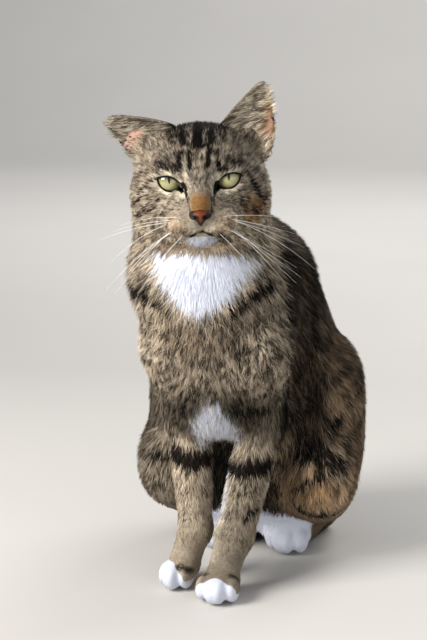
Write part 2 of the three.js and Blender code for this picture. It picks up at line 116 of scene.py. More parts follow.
def turned(yaw: float, pitch: float, roll: float) -> Array:
    """A rotation in degrees: roll about y first, then pitch about x, then yaw about z.

    Args:
        yaw: the turn about z.
        pitch: the turn about x.
        roll: the turn about y.

    Returns:
        A matrix of three rows.
    """
    z, x, y = np.radians([yaw, pitch, roll])
    about_z = np.array([[np.cos(z), -np.sin(z), 0], [np.sin(z), np.cos(z), 0], [0, 0, 1]])
    about_x = np.array([[1, 0, 0], [0, np.cos(x), -np.sin(x)], [0, np.sin(x), np.cos(x)]])
    about_y = np.array([[np.cos(y), 0, np.sin(y)], [0, 1, 0], [-np.sin(y), 0, np.cos(y)]])
    return (about_z @ about_x @ about_y).astype(np.float32)


# ---- forms: negative inside, zero on the surface, about the distance elsewhere ----
def ball(p: Array, centre: Triple, radii: Triple) -> Array:
    """An ellipsoid.

    Args:
        p: the points.
        centre: its centre.
        radii: its half sizes along x, y and z.

    Returns:
        Its value at each point.
    """
    q = (p - vec(centre)) / vec(radii)
    reach = size_of(q)
    return reach * (reach - 1.0) / (size_of(q / vec(radii)) + 1e-9)


def along_bar(p: Array, a: Triple, b: Triple) -> tuple[Array, Array]:
    """The share of the way from a to b nearest to each point, and the vector from there to the point.

    Args:
        p: the points.
        a: the bar's start.
        b: its end.

    Returns:
        The shares, and the vectors as three rows.
    """
    start, reach = vec(a), vec(b) - vec(a)
    t = np.clip(dot(p - start, reach) / float((reach * reach).sum()), 0.0, 1.0)
    return t, p - start - t * reach


def bone(p: Array, a: Triple, b: Triple, radius_a: float, radius_b: float) -> Array:
    """A round bar from a to b whose radius changes evenly."""
    t, off = along_bar(p, a, b)
    return size_of(off) - radius_a - t * (radius_b - radius_a)


def join(a: Array, b: Array, k: float) -> Array:
    """Two forms together, with a fillet about k wide where they meet."""
    h = np.maximum(k - np.abs(a - b), 0.0) / k
    return np.minimum(a, b) - h * h * k / 4.0


def carve(a: Array, b: Array, k: float) -> Array:
    """Form a with b taken out, its edge rounded by k."""
    return -join(-a, b, k)


def paired(p: Array) -> Array:
    """Points folded onto the left half, rounded at the middle, for a form that is on both sides."""
    meeting = 3.0
    return np.stack([np.hypot(p[0], meeting), p[1], p[2]])


def mirrored(p: Array) -> Array:
    """Points folded onto the left half."""
    return np.stack([np.abs(p[0]), p[1], p[2]])


class Noise:
    """Smooth random values over space, from a seeded lattice that repeats."""

    PERIOD = 32

    def __init__(self, seed: int) -> None:
        """Draws the lattice."""
        self.values = np.random.default_rng(seed).uniform(-1, 1, (self.PERIOD,) * 3).astype(np.float32)
        self.shift = np.random.default_rng(seed + 1).uniform(0.1, 0.9, (self.PERIOD,) * 3 + (3,))

    def __call__(self, p: Array, scale: float) -> Array:
        """The value at each point.

        Args:
            p: points, in millimetres.
            scale: the size of one lattice cell, in millimetres.

        Returns:
            A value from -1 to 1 for each point.
        """
        q = p / scale
        base = np.floor(q).astype(np.int32)
        share = q - base
        share = share * share * (3.0 - 2.0 * share)
        total = np.zeros(p.shape[1], np.float32)
        for corner in CORNERS:
            step = np.array(corner).reshape(3, 1)
            weight = np.where(step == 1, share, 1.0 - share).prod(0)
            total += weight * self.values[tuple((base + step) % self.PERIOD)]
        return total

    def centres(self, p: Array, scale: float) -> Array:
        """The nearest of a set of points scattered one to a cell, for gathering hairs into locks.

        Args:
            p: points, in millimetres.
            scale: the size of one cell, in millimetres.

        Returns:
            The nearest centre to each point.
        """
        q = p / scale
        base = np.floor(q).astype(np.int32)
        best, found = np.full(p.shape[1], np.inf), np.zeros_like(q)
        for corner in product((-1, 0, 1), repeat=3):
            cell = base + np.array(corner).reshape(3, 1)
            centre = cell + self.shift[tuple(cell % self.PERIOD)].T
            away = size_of(centre - q)
            nearer = away < best
            best = np.where(nearer, away, best)
            found = np.where(nearer, centre, found)
        return found * scale


# ---- anatomy ----
class Part(Enum):
    """The stretches of the cat that have a coat of their own."""

    FACE_LEFT = "face_left"
    FACE_RIGHT = "face_right"
    CROWN = "crown"
    EARS = "ears"
    NECK = "neck"
    CHEST = "chest"
    FLANK_LEFT = "flank_left"
    FLANK_RIGHT = "flank_right"
    HAUNCH_LEFT = "haunch_left"
    HAUNCH_RIGHT = "haunch_right"
    FORELEGS = "forelegs"
    PAWS = "paws"
    TAIL = "tail"


@dataclass(frozen=True)
class Limb:
    """The joints of one foreleg."""

    shoulder: Triple
    point: Triple
    elbow: Triple
    wrist: Triple
    paw: Triple
    wrist_radius: float
    toe_out: float
    spread: float


@dataclass(frozen=True)
class Pinna:
    """One ear: the feet of its two edges, its tip and the way its cup is hollowed, in head axes."""

    inner: Triple
    outer: Triple
    tip: Triple
    back: Triple
    hollow: float
    inner_curve: float
    outer_curve: float

    def axes(self) -> tuple[Array, Array, float]:
        """The middle of the foot, the directions across, along and back, and half the width.

        Returns:
            The middle, the three directions as columns, and the half width.
        """
        inner, outer = np.array(self.inner, float), np.array(self.outer, float)
        base = (inner + outer) / 2
        across = outer - inner
        back = np.array(self.back) / np.linalg.norm(self.back)
        matrix = np.stack([across / np.linalg.norm(across), np.array(self.tip) - base, back], 1)
        return base, matrix, np.linalg.norm(across) / 2

    def place(self, q: Array) -> tuple[Array, Array, Array, Array, Array]:
        """Where points lie on the ear.

        Args:
            q: points in head axes.

        Returns:
            The height as a share of the ear's length, the place across from -1 to 1, the distance in
            front of or behind the sheet, the distance outside its outline, and half its thickness.
        """
        base, matrix, half = self.axes()
        r = np.linalg.inv(matrix).astype(np.float32) @ (q - vec(base))
        height = np.clip(r[1], -0.25, 1.0)
        w = np.clip(height, 0.0, 1.0)
        spread = -1.2 * half * np.clip(-height, 0.0, 1.0)
        blunt = 3.2 * w
        low = -half * (1 - w**self.inner_curve) - spread - blunt
        high = half * (1 - w**self.outer_curve) + spread + blunt
        across = np.clip((2 * r[0] - low - high) / np.maximum(high - low, 1.0), -1.2, 1.2)
        cup = self.hollow * np.clip(1 - height, 0, 1) ** 0.9 * np.clip(1 - across**2, 0, 1) ** 0.7
        tall = float(np.linalg.norm(matrix[:, 1]))
        outside = carve(np.maximum(low - r[0], r[0] - high), (1.01 - r[1]) * tall, 9.0)
        outside = carve(outside, (r[1] + 0.16) * tall, 8.0)
        return height, across, r[2] - cup, outside, 1.05 - 0.3 * w


@dataclass
class Anatomy:
    """The cat's forms. With coat=0 they give the tips of the hairs, and with coat=1 the skin."""

    eye_radius: float = 10.5
    eye_spacing: float = 39.0
    head_centre: Triple = (-8, -6, 288)
    head_turn: float = 15.0
    head_lift: float = 4.0
    head_tilt: float = -3.0
    lid_width: float = 15.2
    upper_lid: float = 3.4
    lower_lid: float = 5.0
    lid_slant: float = 20.0
    rump_x: float = 3.0
    hind_spread: float = 1.15
    forelegs: dict[int, Limb] = field(default_factory=lambda: {
        LEFT: Limb((28, 42, 195), (26, 22, 168), (24, 44, 118), (10.5, 17, 38), (6, -4, 11.5), 14, 0, 1.1),
        RIGHT: Limb(
            (-35, 42, 195), (-34, 24, 168), (-30, 46, 118), (-20, 26, 38), (-27, 15, 11.5), 12.5, -14, 0.9
        ),
    })
    tail_stations: tuple[tuple[Triple, float], ...] = (
        ((4, 178, 34), 20), ((5, 205, 21), 17.5), ((4, 235, 14.2), 15), ((-2, 270, 13.2), 14),
        ((-16, 303, 12.7), 13.5), ((-40, 328, 12.2), 13), ((-68, 340, 11.2), 12), ((-94, 337, 9), 8),
    )
    ears: dict[int, Pinna] = field(default_factory=lambda: {
        LEFT: Pinna((14, 18, 33), (50, 20, 8), (47.5, 27, 63), (-0.22, 0.95, 0.18), 15, 1.15, 1.8),
        RIGHT: Pinna((-14, 14, 34), (-47, 22, 9), (-63, 40, 41), (0.3, 0.8, 0.5), 14, 1.5, 1.1),
    })

    def __post_init__(self) -> None:
        """Works out the head's axes and the eye's centre."""
        self.head_axes = turned(self.head_turn, self.head_lift, self.head_tilt)
        self.eye = (self.eye_spacing / 2, 0.0, 2.0)
        self.nose_tip = (0.0, -34.0, -14.0)

    def to_head(self, p: Array) -> Array:
        """Points of body axes, in head axes."""
        return self.head_axes.T @ (p - vec(self.head_centre))

    def from_head(self, q: Array) -> Array:
        """Points of head axes, in body axes."""
        return self.head_axes @ q + vec(self.head_centre)

    def head_depth(self, q: Array) -> Array:
        """How deep the coat lies on the head: thinner towards the nose."""
        away = size_of(q - vec(self.nose_tip))
        return np.clip(0.9 + 0.045 * (away - 10.0), 0.9, 3.4) - 1.3 * ramp(q[2], 12, 30)

    def head(self, q: Array, coat: float) -> Array:
        """The head without its ears, in head axes.

        Args:
            q: points in head axes.
            coat: 0 for the hairs' tips, 1 for the skin.

        Returns:
            Its value at each point.
        """
        m = paired(q)
        lids = self.eye_radius + 2.0 - 0.3 * coat
        f = ball(q, (0, 27, 4), (41, 37, 32))
        f = join(f, ball(q, (0, 13, -5), (42, 25, 33)), 10)
        f = join(f, ball(m, (30, 22, -14), (19, 24, 26)), 12)
        f = join(f, ball(m, (31, 35, 14), (15, 14, 16)), 10)
        f = join(f, ball(m, (15, -1, 13.5), (14, 9, 8)), 10)
        f = join(f, ball(q, (0, -8, -21), (28, 21, 14)), 9)
        f = join(f, bone(q, (0, -6, 3), (0, -28, -12), 11, 7.8), 9)
        f = join(f, ball(m, (11.5, -21.5, -24), (12.5, 13, 9.5)), 6)
        f = join(f, bone(m, (3, -17, -33), (22, 9, -27), 9, 16), 7)
        f = join(f, ball(q, (0, -22, -34), (10, 8, 7)), 4)
        f = join(f, ball(q, (0, -32, -17.5), (7.4, 5, 5)), 3)
        f = f + coat * self.head_depth(q)
        return join(f, ball(m, self.eye, (lids, lids, lids)) + 0.75 * coat, 5)

    def almond(self, q: Array) -> Array:
        """The distance outside the opening between the lids, seen from the front.

        Args:
            q: points in head axes.

        Returns:
            The distance, negative inside the opening.
        """
        m = mirrored(q)
        slant = np.radians(self.lid_slant)
        dx, dz = m[0] - self.eye[0], m[2] - self.eye[2]
        x = dx * np.cos(slant) + dz * np.sin(slant)
        z = -dx * np.sin(slant) + dz * np.cos(slant)
        half = self.lid_width / 2
        upper, lower = ((half * half + rise * rise) / (2 * rise) for rise in (self.upper_lid, self.lower_lid))
        over = np.hypot(x, z + upper - self.upper_lid) - upper
        under = np.hypot(x, z - lower + self.lower_lid) - lower
        duct = bone(np.stack([x, np.zeros_like(x), z]), (-6.5, 0, -0.4), (-9.6, 0, -2.2), 1.2, 0.6)
        return join(np.maximum(over, under), duct, 0.8)

    def mouth(self, q: Array) -> Array:
        """The groove below the nose and the line between the lips.

        Args:
            q: points in head axes.

        Returns:
            Its value at each point.
        """
        m = mirrored(q)
        f = bone(q, (0, -36.5, -22), (0, -30.8, -28.4), 0.9, 0.6)
        path = [(0, -30.6, -28.4), (4.8, -30.3, -30.2), (9.5, -28.4, -32.3), (15, -20, -34), (20, -10, -33.5)]
        for a, b in zip(path, path[1:]):
            f = join(f, bone(m, a, b, 0.9, 0.9), 0.6)
        return f

    def leather(self, q: Array) -> Array:
        """The distance outside the outline of the nose leather, seen from the front.

        Args:
            q: points in head axes.

        Returns:
            The distance, negative on the leather.
        """
        front = np.stack([np.abs(q[0]), 0 * q[0], q[2]])
        f = bone(front, (0, 0, -15.9), (4.6, 0, -15.9), 2.1, 2.4)
        f = join(f, bone(front, (0, 0, -17), (0, 0, -21.6), 4.2, 1.2), 2.0)
        return np.maximum(f, q[1] + 25.0)

    def ear(self, q: Array, side: int) -> Array:
        """One ear, in head axes."""
        _, _, off, outside, half = self.ears[side].place(q)
        return carve((np.abs(off) - half) * 0.6, -(outside * 0.8 + 0.9), 1.6)

    def whole_head(self, q: Array, coat: float) -> Array:
        """The head with ears, and on the skin also the openings of the eyes and the mouth.

        Args:
            q: points in head axes.
            coat: 0 for the hairs' tips, 1 for the skin.

        Returns:
            Its value at each point.
        """
        f = self.head(q, coat)
        for side in SIDES:
            f = join(f, self.ear(q, side), 3.5)
        if coat:
            pocket = np.maximum(self.almond(q), q[1] + 4.0)
            f = carve(f, pocket, 0.7)
            f = carve(f, self.mouth(q), 0.8)
        return f

    def trunk(self, p: Array, coat: float) -> Array:
        """Neck, chest, ribs, belly and seat.

        Args:
            p: points in body axes.
            coat: 0 for the hairs' tips, 1 for the skin.

        Returns:
            Its value at each point.
        """
        f = bone(p, (-28, 34, 256), (-20, 40, 222), 37, 41)
        f = join(f, bone(p, (-5, 36, 262), (-2, 46, 222), 32, 42), 8)
        f = join(f, ball(p, (-10, 42, 190), (50, 48, 58)), 20)
        f = join(f, ball(p, (-11, 14, 222), (37, 22, 40)), 18)
        f = join(f, ball(p, (-38, 34, 222), (30, 30, 34)), 16)
        f = join(f, bone(p, (4, 72, 206), (5, 112, 136), 51.5, 66), 22)
        f = join(f, ball(p, (self.rump_x, 132, 88), (66, 68, 78)), 24)
        f = join(f, ball(p, (-44, 100, 130), (28, 44, 38)), 18)
        f = join(f, ball(p, (58, 116, 128), (23, 42, 34)), 16)
        f = join(f, ball(p, (-8, 38, 138), (34, 32, 34)), 18)
        f = join(f, ball(p, (self.rump_x, 150, 44), (50, 44, 45)), 20)
        return f + coat * (1.5 + 1.9 * ramp(p[2], 150, 215) * fall(p[1], 40, 90))

    def armpit(self, p: Array) -> Array:
        """The groove behind the left shoulder and elbow.

        Args:
            p: points in body axes.

        Returns:
            Its value at each point.
        """
        f = bone(p, (64, 58, 250), (61, 49, 214), 10, 15)
        f = join(f, bone(p, (61, 49, 214), (61, 48, 176), 15, 15), 6)
        f = join(f, bone(p, (61, 48, 176), (56, 58, 138), 15, 14), 6)
        return join(f, bone(p, (56, 58, 138), (52, 52, 104), 14, 12), 6)

    def toes(self, p: Array, place: Triple, yaw: float, spread: float, coat: float) -> Array:
        """The round front of a foot with its four toes.

        Args:
            p: points in body axes.
            place: the foot's middle.
            yaw: how far it points aside, in degrees.
            spread: how wide it is.
            coat: 0 for the hairs' tips, 1 for the skin.

        Returns:
            Its value at each point.
        """
        q = turned(yaw, 0, 0).T @ (p - vec(place))
        m = paired(q)
        groove = 3.5 - 0.4 * coat
        f = ball(q, (0, 0, 0), (14.5 * spread, 17, 13)) + 0.9 * coat
        f = join(f, ball(m, (9.8 * spread, -8, -2.2), (5.6 * spread, 9.5, 9.5)), groove)
        return join(f, ball(m, (3.2 * spread, -14, -2.2), (5.2 * spread, 9.5, 9.5)), groove)

    def foreleg(self, p: Array, side: int, coat: float) -> Array:
        """One foreleg with its paw.

        Args:
            p: points in body axes.
            side: LEFT or RIGHT.
            coat: 0 for the hairs' tips, 1 for the skin.

        Returns:
            Its value at each point.
        """
        limb = self.forelegs[side]
        f = bone(p, limb.shoulder, limb.point, 22, 22)
        f = join(f, bone(p, limb.point, limb.elbow, 22, 20), 10)
        f = join(f, bone(p, limb.elbow, limb.wrist, 20, limb.wrist_radius), 10)
        ankle = (limb.paw[0], limb.paw[1] + 8, limb.paw[2] + 4.5)
        foot = bone(p, limb.wrist, ankle, limb.wrist_radius, 12)
        foot = join(foot, self.toes(p, limb.paw, limb.toe_out, limb.spread, coat), 8 - 3 * coat)
        return join(f, foot, 6) + coat * (1.3 + 2.7 * ramp(p[2], 25, 110))

    def hindleg(self, p: Array, side: int, coat: float) -> Array:
        """One hind leg with its foot.

        Args:
            p: points in body axes.
            side: LEFT or RIGHT.
            coat: 0 for the hairs' tips, 1 for the skin.

        Returns:
            Its value at each point.
        """
        x = self.rump_x
        f = ball(p, (x + 50 * side, 118, 84), (31, 56, 62))
        f = join(f, ball(p, (x + 58 * side, 82, 74), (24, 26, 30)), 16)
        f = join(f, bone(p, (x + 56 * side, 84, 58), (x + 42 * side, 160, 24), 22, 16), 14)
        foot = bone(p, (x - 1 + 41 * side, 164, 14), (x - 1 + 33 * side, 116, 13), 15, 13)
        toes = self.toes(p, (x - 1 + 30 * side, 108, 12.3), -10 * side, self.hind_spread, coat)
        foot = join(foot, toes, 8 - 3 * coat)
        return join(f, foot, 8) + coat * (1.3 + 1.5 * ramp(p[2], 22, 60))

    def tail(self, p: Array, coat: float) -> Array:
        """The tail.

        Args:
            p: points in body axes.
            coat: 0 for the hairs' tips, 1 for the skin.

        Returns:
            Its value at each point.
        """
        f = None
        for (a, radius_a), (b, radius_b) in zip(self.tail_stations, self.tail_stations[1:]):
            length = bone(p, a, b, radius_a, radius_b)
            f = length if f is None else join(f, length, 5)
        return f + 4.5 * coat

    def parts(self, p: Array, coat: float) -> dict[str, Array]:
        """Every part's own form at the points.

        Args:
            p: points in body axes.
            coat: 0 for the hairs' tips, 1 for the skin.

        Returns:
            The forms' values under the parts' names.
        """
        found = {"trunk": self.trunk(p, coat), "tail": self.tail(p, coat)}
        found["head"] = self.whole_head(self.to_head(p), coat)
        for side in SIDES:
            found[f"foreleg{side}"] = self.foreleg(p, side, coat)
            found[f"hindleg{side}"] = self.hindleg(p, side, coat)
        return found

    def skin(self, p: Array) -> Array:
        """The skin, closed underneath by small flats just above the floor.

        Args:
            p: points in body axes.

        Returns:
            Its value at each point.
        """
        part = self.parts(p, 1.0)
        trunk = part["trunk"]
        f = np.minimum(join(trunk, part["head"], 14), join(trunk, part["tail"], 14))
        for side in SIDES:
            f = np.minimum(f, join(trunk, part[f"foreleg{side}"], 12))
            f = np.minimum(f, join(trunk, part[f"hindleg{side}"], 16))
        underside = 0.8
        return carve(carve(f, self.armpit(p), 10), p[2] - underside, 1.5)

    def slope(self, form: Form, p: Array, step: float = 0.12) -> Array:
        """The gradient of a form, by small steps to either side.

        Args:
            form: the form.
            p: points in body axes.
            step: half the distance between two readings.

        Returns:
            The slope as three rows.
        """
        rows = []
        for axis in range(3):
            away = np.zeros((3, 1), np.float32)
            away[axis] = step
            rows.append((form(p + away) - form(p - away)) / (2 * step))
        return np.stack(rows)


# ---- meshes ----
@dataclass
class Place:
    """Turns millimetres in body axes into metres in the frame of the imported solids."""

    cat: Anatomy

    def __post_init__(self) -> None:
        """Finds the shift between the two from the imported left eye."""
        low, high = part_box("eye_left")
        seen = np.array((low + high) / 2)
        eye = self.cat.from_head(vec(self.cat.eye))[:, 0] * MILLIMETRE
        self.shift = seen - eye

    def metres(self, p: Array) -> Array:
        """Points as rows of metres, one point to a row."""
        return np.ascontiguousarray(p.T * MILLIMETRE + self.shift)

    def millimetres(self, metres: Array) -> Array:
        """Rows x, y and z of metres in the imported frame, as millimetres in body axes."""
        return ((metres - self.shift.reshape(3, 1)) / MILLIMETRE).astype(np.float32)


def flat(values: Array, kind: type = np.float32) -> Array:
    """Values in one row, as Blender takes them."""
    return np.ascontiguousarray(values, kind).ravel()


def stood(name: str, data: bpy.types.ID) -> Piece:
    """A new object of the scene, at the origin.

    Args:
        name: its name.
        data: its mesh, lamp or camera.

    Returns:
        The object.
    """
    thing = bpy.data.objects.new(name, data)
    bpy.context.scene.collection.objects.link(thing)
    return thing


def mesh_of(name: str, points: Array, faces: Array) -> Piece:
    """A new smooth-shaded piece.

    Args:
        name: the piece's name.
        points: one point to a row, in metres.
        faces: one face to a row, as indices of its corners.

    Returns:
        The object, at the origin, linked to the scene.
    """
    mesh = bpy.data.meshes.new(name)
    count, corners = faces.shape
    mesh.vertices.add(len(points))
    mesh.vertices.foreach_set("co", flat(points))
    mesh.loops.add(count * corners)
    mesh.loops.foreach_set("vertex_index", flat(faces, np.int32))
    mesh.polygons.add(count)
    mesh.polygons.foreach_set("loop_start", np.arange(count, dtype=np.int32) * corners)
    mesh.update(calc_edges=True)
    mesh.validate()
    mesh.shade_smooth()
    return stood(name, mesh)


def store(mesh: Mesh, name: str, values: Array) -> None:
    """Keeps a value, or four as a colour, at each point of a mesh."""
    kind, key = ("FLOAT_COLOR", "color") if values.ndim == 2 else ("FLOAT", "value")
    mesh.attributes.new(name, kind, "POINT").data.foreach_set(key, flat(values))


def points_of(mesh: Mesh) -> Array:
    """The points of a mesh as three rows, in the mesh's own units.

    Args:
        mesh: the mesh.

    Returns:
        The rows x, y and z.
    """
    row = np.zeros(len(mesh.vertices) * 3, np.float32)
    mesh.vertices.foreach_get("co", row)
    return row.reshape(-1, 3).T.copy()


@dataclass
class Lattice:
    """A stack of square grids, fine at the head and feet and wider between them.

    A form's surface becomes one point in each cell that it crosses and one four-sided face round each
    grid edge that it crosses.
    """

    low: Triple
    high: Triple
    middle: tuple[float, float]
    spacing: Callable[[float], float]
    block: int = 4

    def __post_init__(self) -> None:
        """Lays out the levels and the span of each grid."""
        levels = [self.low[2]]
        while levels[-1] < self.high[2]:
            levels.append(levels[-1] + self.spacing(levels[-1]))
        levels += [levels[-1] + self.spacing(levels[-1])] * (-len(levels) % self.block + 1)
        self.levels = np.array(levels, np.float32)
        self.steps = np.array([self.spacing(z) for z in levels], np.float32)
        finest = float(self.steps.min())
        self.first, count = [], []
        for axis in (0, 1):
            start = int((self.low[axis] - self.middle[axis]) / finest) - 1
            end = int((self.high[axis] - self.middle[axis]) / finest) + 1
            self.first.append(start)
            count.append((end - start) // self.block * self.block + self.block + 1)
        self.count = (*count, len(levels) // self.block * self.block + 1)
        self.levels = np.resize(self.levels, self.count[2])
        for n in range(len(levels), self.count[2]):
            self.levels[n] = self.levels[n - 1] + self.steps[-1]
        self.steps = np.concatenate([self.steps, np.full(self.count[2], self.steps[-1])])[: self.count[2]]

    def at(self, i: Array, j: Array, k: Array) -> Array:
        """The places of grid points.

        Args:
            i: numbers along x.
            j: numbers along y.
            k: numbers of levels.

        Returns:
            The points as three rows.
        """
        step = self.steps[k]
        x = self.middle[0] + (i + self.first[0]) * step
        y = self.middle[1] + (j + self.first[1]) * step
        return np.stack([x, y, self.levels[k]]).astype(np.float32)

    def sample(self, form: Form) -> Array:
        """The form's values, worked out only in blocks of the grid near its surface.

        Args:
            form: the form.

        Returns:
            A value for every grid point.
        """
        b, margin, chunk = self.block, 2.0, 400000
        coarse = [np.arange(0, n, b) for n in self.count]
        i, j, k = (a.ravel() for a in np.meshgrid(*coarse, indexing="ij"))
        rough = form(self.at(i, j, k))
        shape = tuple(len(a) for a in coarse)
        near = (np.abs(rough) < b * margin * self.steps[k] + margin).reshape(shape)
        sign = np.where(rough < 0, -1.0, 1.0).astype(np.float32).reshape(shape)
        wanted = np.zeros(tuple(n - 1 for n in shape), bool)
        for corner in CORNERS:
            part = tuple(slice(c, c + n - 1) for c, n in zip(corner, shape))
            wanted |= near[part]
        full = np.zeros(self.count, bool)
        fine = wanted.repeat(b, 0).repeat(b, 1).repeat(b, 2)
        for corner in CORNERS:
            part = tuple(slice(c, c + n) for c, n in zip(corner, fine.shape))
            full[part] |= fine
        values = sign.repeat(b, 0).repeat(b, 1).repeat(b, 2)[tuple(slice(0, n) for n in self.count)] * FAR
        i, j, k = np.nonzero(full)
        for start in range(0, len(i), chunk):
            part = slice(start, start + chunk)
            values[i[part], j[part], k[part]] = form(self.at(i[part], j[part], k[part]))
        return values

    def surface(self, form: Form) -> tuple[Array, Array]:
        """The points and four-sided faces of the form's surface.

        Args:
            form: the form, negative inside.

        Returns:
            Points as three rows in millimetres, and faces as rows of four indices.
        """
        values = self.sample(form)
        inside = values < 0
        full = tuple(n - 1 for n in self.count)
        corners = np.zeros(full, np.int8)
        for corner in CORNERS:
            corners += inside[tuple(slice(c, c + n) for c, n in zip(corner, full))]
        cell = np.nonzero((corners > 0) & (corners < 8))
        total, crossings = np.zeros((3, len(cell[0]))), np.zeros(len(cell[0]))
        for axis in range(3):
            for corner in product((0, 1), repeat=2):
                start = list(corner)
                start.insert(axis, 0)
                end = [s + (n == axis) for n, s in enumerate(start)]
                a = tuple(c + s for c, s in zip(cell, start))
                b = tuple(c + s for c, s in zip(cell, end))
                va, vb = values[a], values[b]
                crossed = (va < 0) != (vb < 0)
                share = np.where(crossed, va / np.where(crossed, va - vb, 1.0), 0.0)
                pa, pb = self.at(*a), self.at(*b)
                total += np.where(crossed, pa + share * (pb - pa), 0.0)
                crossings += crossed
        owner = np.full(full, -1, np.int32)
        owner[cell] = np.arange(len(cell[0]))
        faces = []
        for axis in range(3):
            ahead = tuple(slice(1, None) if n == axis else slice(0, -1) for n in range(3))
            core = tuple(slice(0, -1) for _ in range(3))
            here, there = inside[core], inside[ahead]
            edge = np.nonzero(here != there)
            u, v = (axis + 1) % 3, (axis + 2) % 3
            ring = []
            for du, dv in ((0, 0), (1, 0), (1, 1), (0, 1)):
                spot = list(edge)
                spot[u] = spot[u] - du
                spot[v] = spot[v] - dv
                ring.append(owner[tuple(spot)])
            quad = np.stack(ring, 1)
            flip = ~here[edge]
            quad[flip] = quad[flip][:, ::-1]
            faces.append(quad)
        return (total / crossings).astype(np.float32), np.concatenate(faces)


def drawn_onto(anatomy: Anatomy, form: Form, p: Array, furthest: float, passes: int = 3) -> Array:
    """Points moved down a form's slope onto its surface, each by no more than a set distance.

    Args:
        anatomy: the cat's forms.
        form: the form.
        p: the points.
        furthest: how far each may move.
        passes: how many steps to take.

    Returns:
        The moved points.
    """
    moved, least_steep = p.copy(), 0.15
    for _ in range(passes):
        slope = anatomy.slope(form, moved)
        moved = moved - slope * (form(moved) / np.maximum(dot(slope, slope), least_steep))
    step = moved - p
    return p + step * np.minimum(1.0, furthest / np.maximum(size_of(step), 1e-6))


# ---- markings ----
@dataclass(frozen=True)
class Stroke:
    """A line of the coat's pattern through points that lie on or near the skin.

    Soft is the share of the radius, in millimetres, over which its edge fades to either side.
    """

    radius: float
    strength: float
    points: tuple[Triple, ...]
    soft: float = 0.6

    def mask(self, p: Array, normal: Array) -> Array:
        """How strongly the line colours each point, measured along the skin.

        Args:
            p: the points.
            normal: the outward direction at each.

        Returns:
            A share for each point.
        """
        found = np.zeros(p.shape[1], np.float32)
        middle = np.mean(self.points, 0)
        reach = max(np.linalg.norm(np.array(point) - middle) for point in self.points)
        margin, depth = 8.0, 5.0
        near = np.nonzero(size_of(p - vec(middle)) < reach + 2 * self.radius + margin)[0]
        best = np.full(len(near), FAR, np.float32)
        for a, b in zip(self.points, self.points[1:]):
            _, off = along_bar(p[:, near], a, b)
            deep = dot(off, normal[:, near])
            level = np.sqrt(np.maximum(dot(off, off) - deep * deep, 0.0))
            best = np.minimum(best, level + 0.5 * np.maximum(np.abs(deep) - depth, 0))
        inner, outer = self.radius * (1 - self.soft), self.radius * (1 + self.soft)
        found[near] = self.strength * fall(best, inner, outer)
        return found


def line(radius: float, strength: float, *points: Triple) -> Stroke:
    """A stroke through the points."""
    return Stroke(radius, strength, points)


def glow(radius: float, strength: float, *points: Triple) -> Stroke:
    """A stroke with a wide, soft edge."""
    return Stroke(radius, strength, points, 0.95)


def spot(p: Array, centre: Triple, radii: Triple, inner: float = 0.5, outer: float = 1.2) -> Array:
    """A soft round patch: 1 inside, falling to 0 outside."""
    return fall(size_of((p - vec(centre)) / vec(radii)), inner, outer)


def drawn(strokes: Sequence[Stroke], p: Array, normal: Array) -> Array:
    """The strongest of several strokes at each point."""
    return most(*(stroke.mask(p, normal) for stroke in strokes))


@dataclass
class Site:
    """Points of the skin, with what the markings have to know of each."""

    cat: Anatomy
    p: Array
    normal: Array

    def __post_init__(self) -> None:
        """Works out the head axes, the part, and the patches that several markings share."""
        part = self.cat.parts(self.p, 1.0)
        self.q = self.cat.to_head(self.p)
        self.m = mirrored(self.q)
        self.aside = self.cat.head_axes.T @ self.normal
        self.on_head = part["head"] < part["trunk"] + 1.0
        self.on_tail = part["tail"] < np.minimum(part["trunk"], 6.0) - 6.0
        # The cheek patch is a warm tint and, in the lightness, painted shade on the left cheek.
        self.cheek = spot(self.q, (36, -2, -20), (11, 14, 12), 0.4, 1.2)
        self.shin = spot(self.p, (57, 62, 64), (30, 30, 25), 0.3, 1.15)
        # The collar also carries painted light in the lightness.
        self.collar = spot(self.p, (-8, -8, 243), (36, 18, 8))
        self.rearward, self.leftward = ramp(self.p[1], 112, 165), ramp(self.p[0], -15, 30)


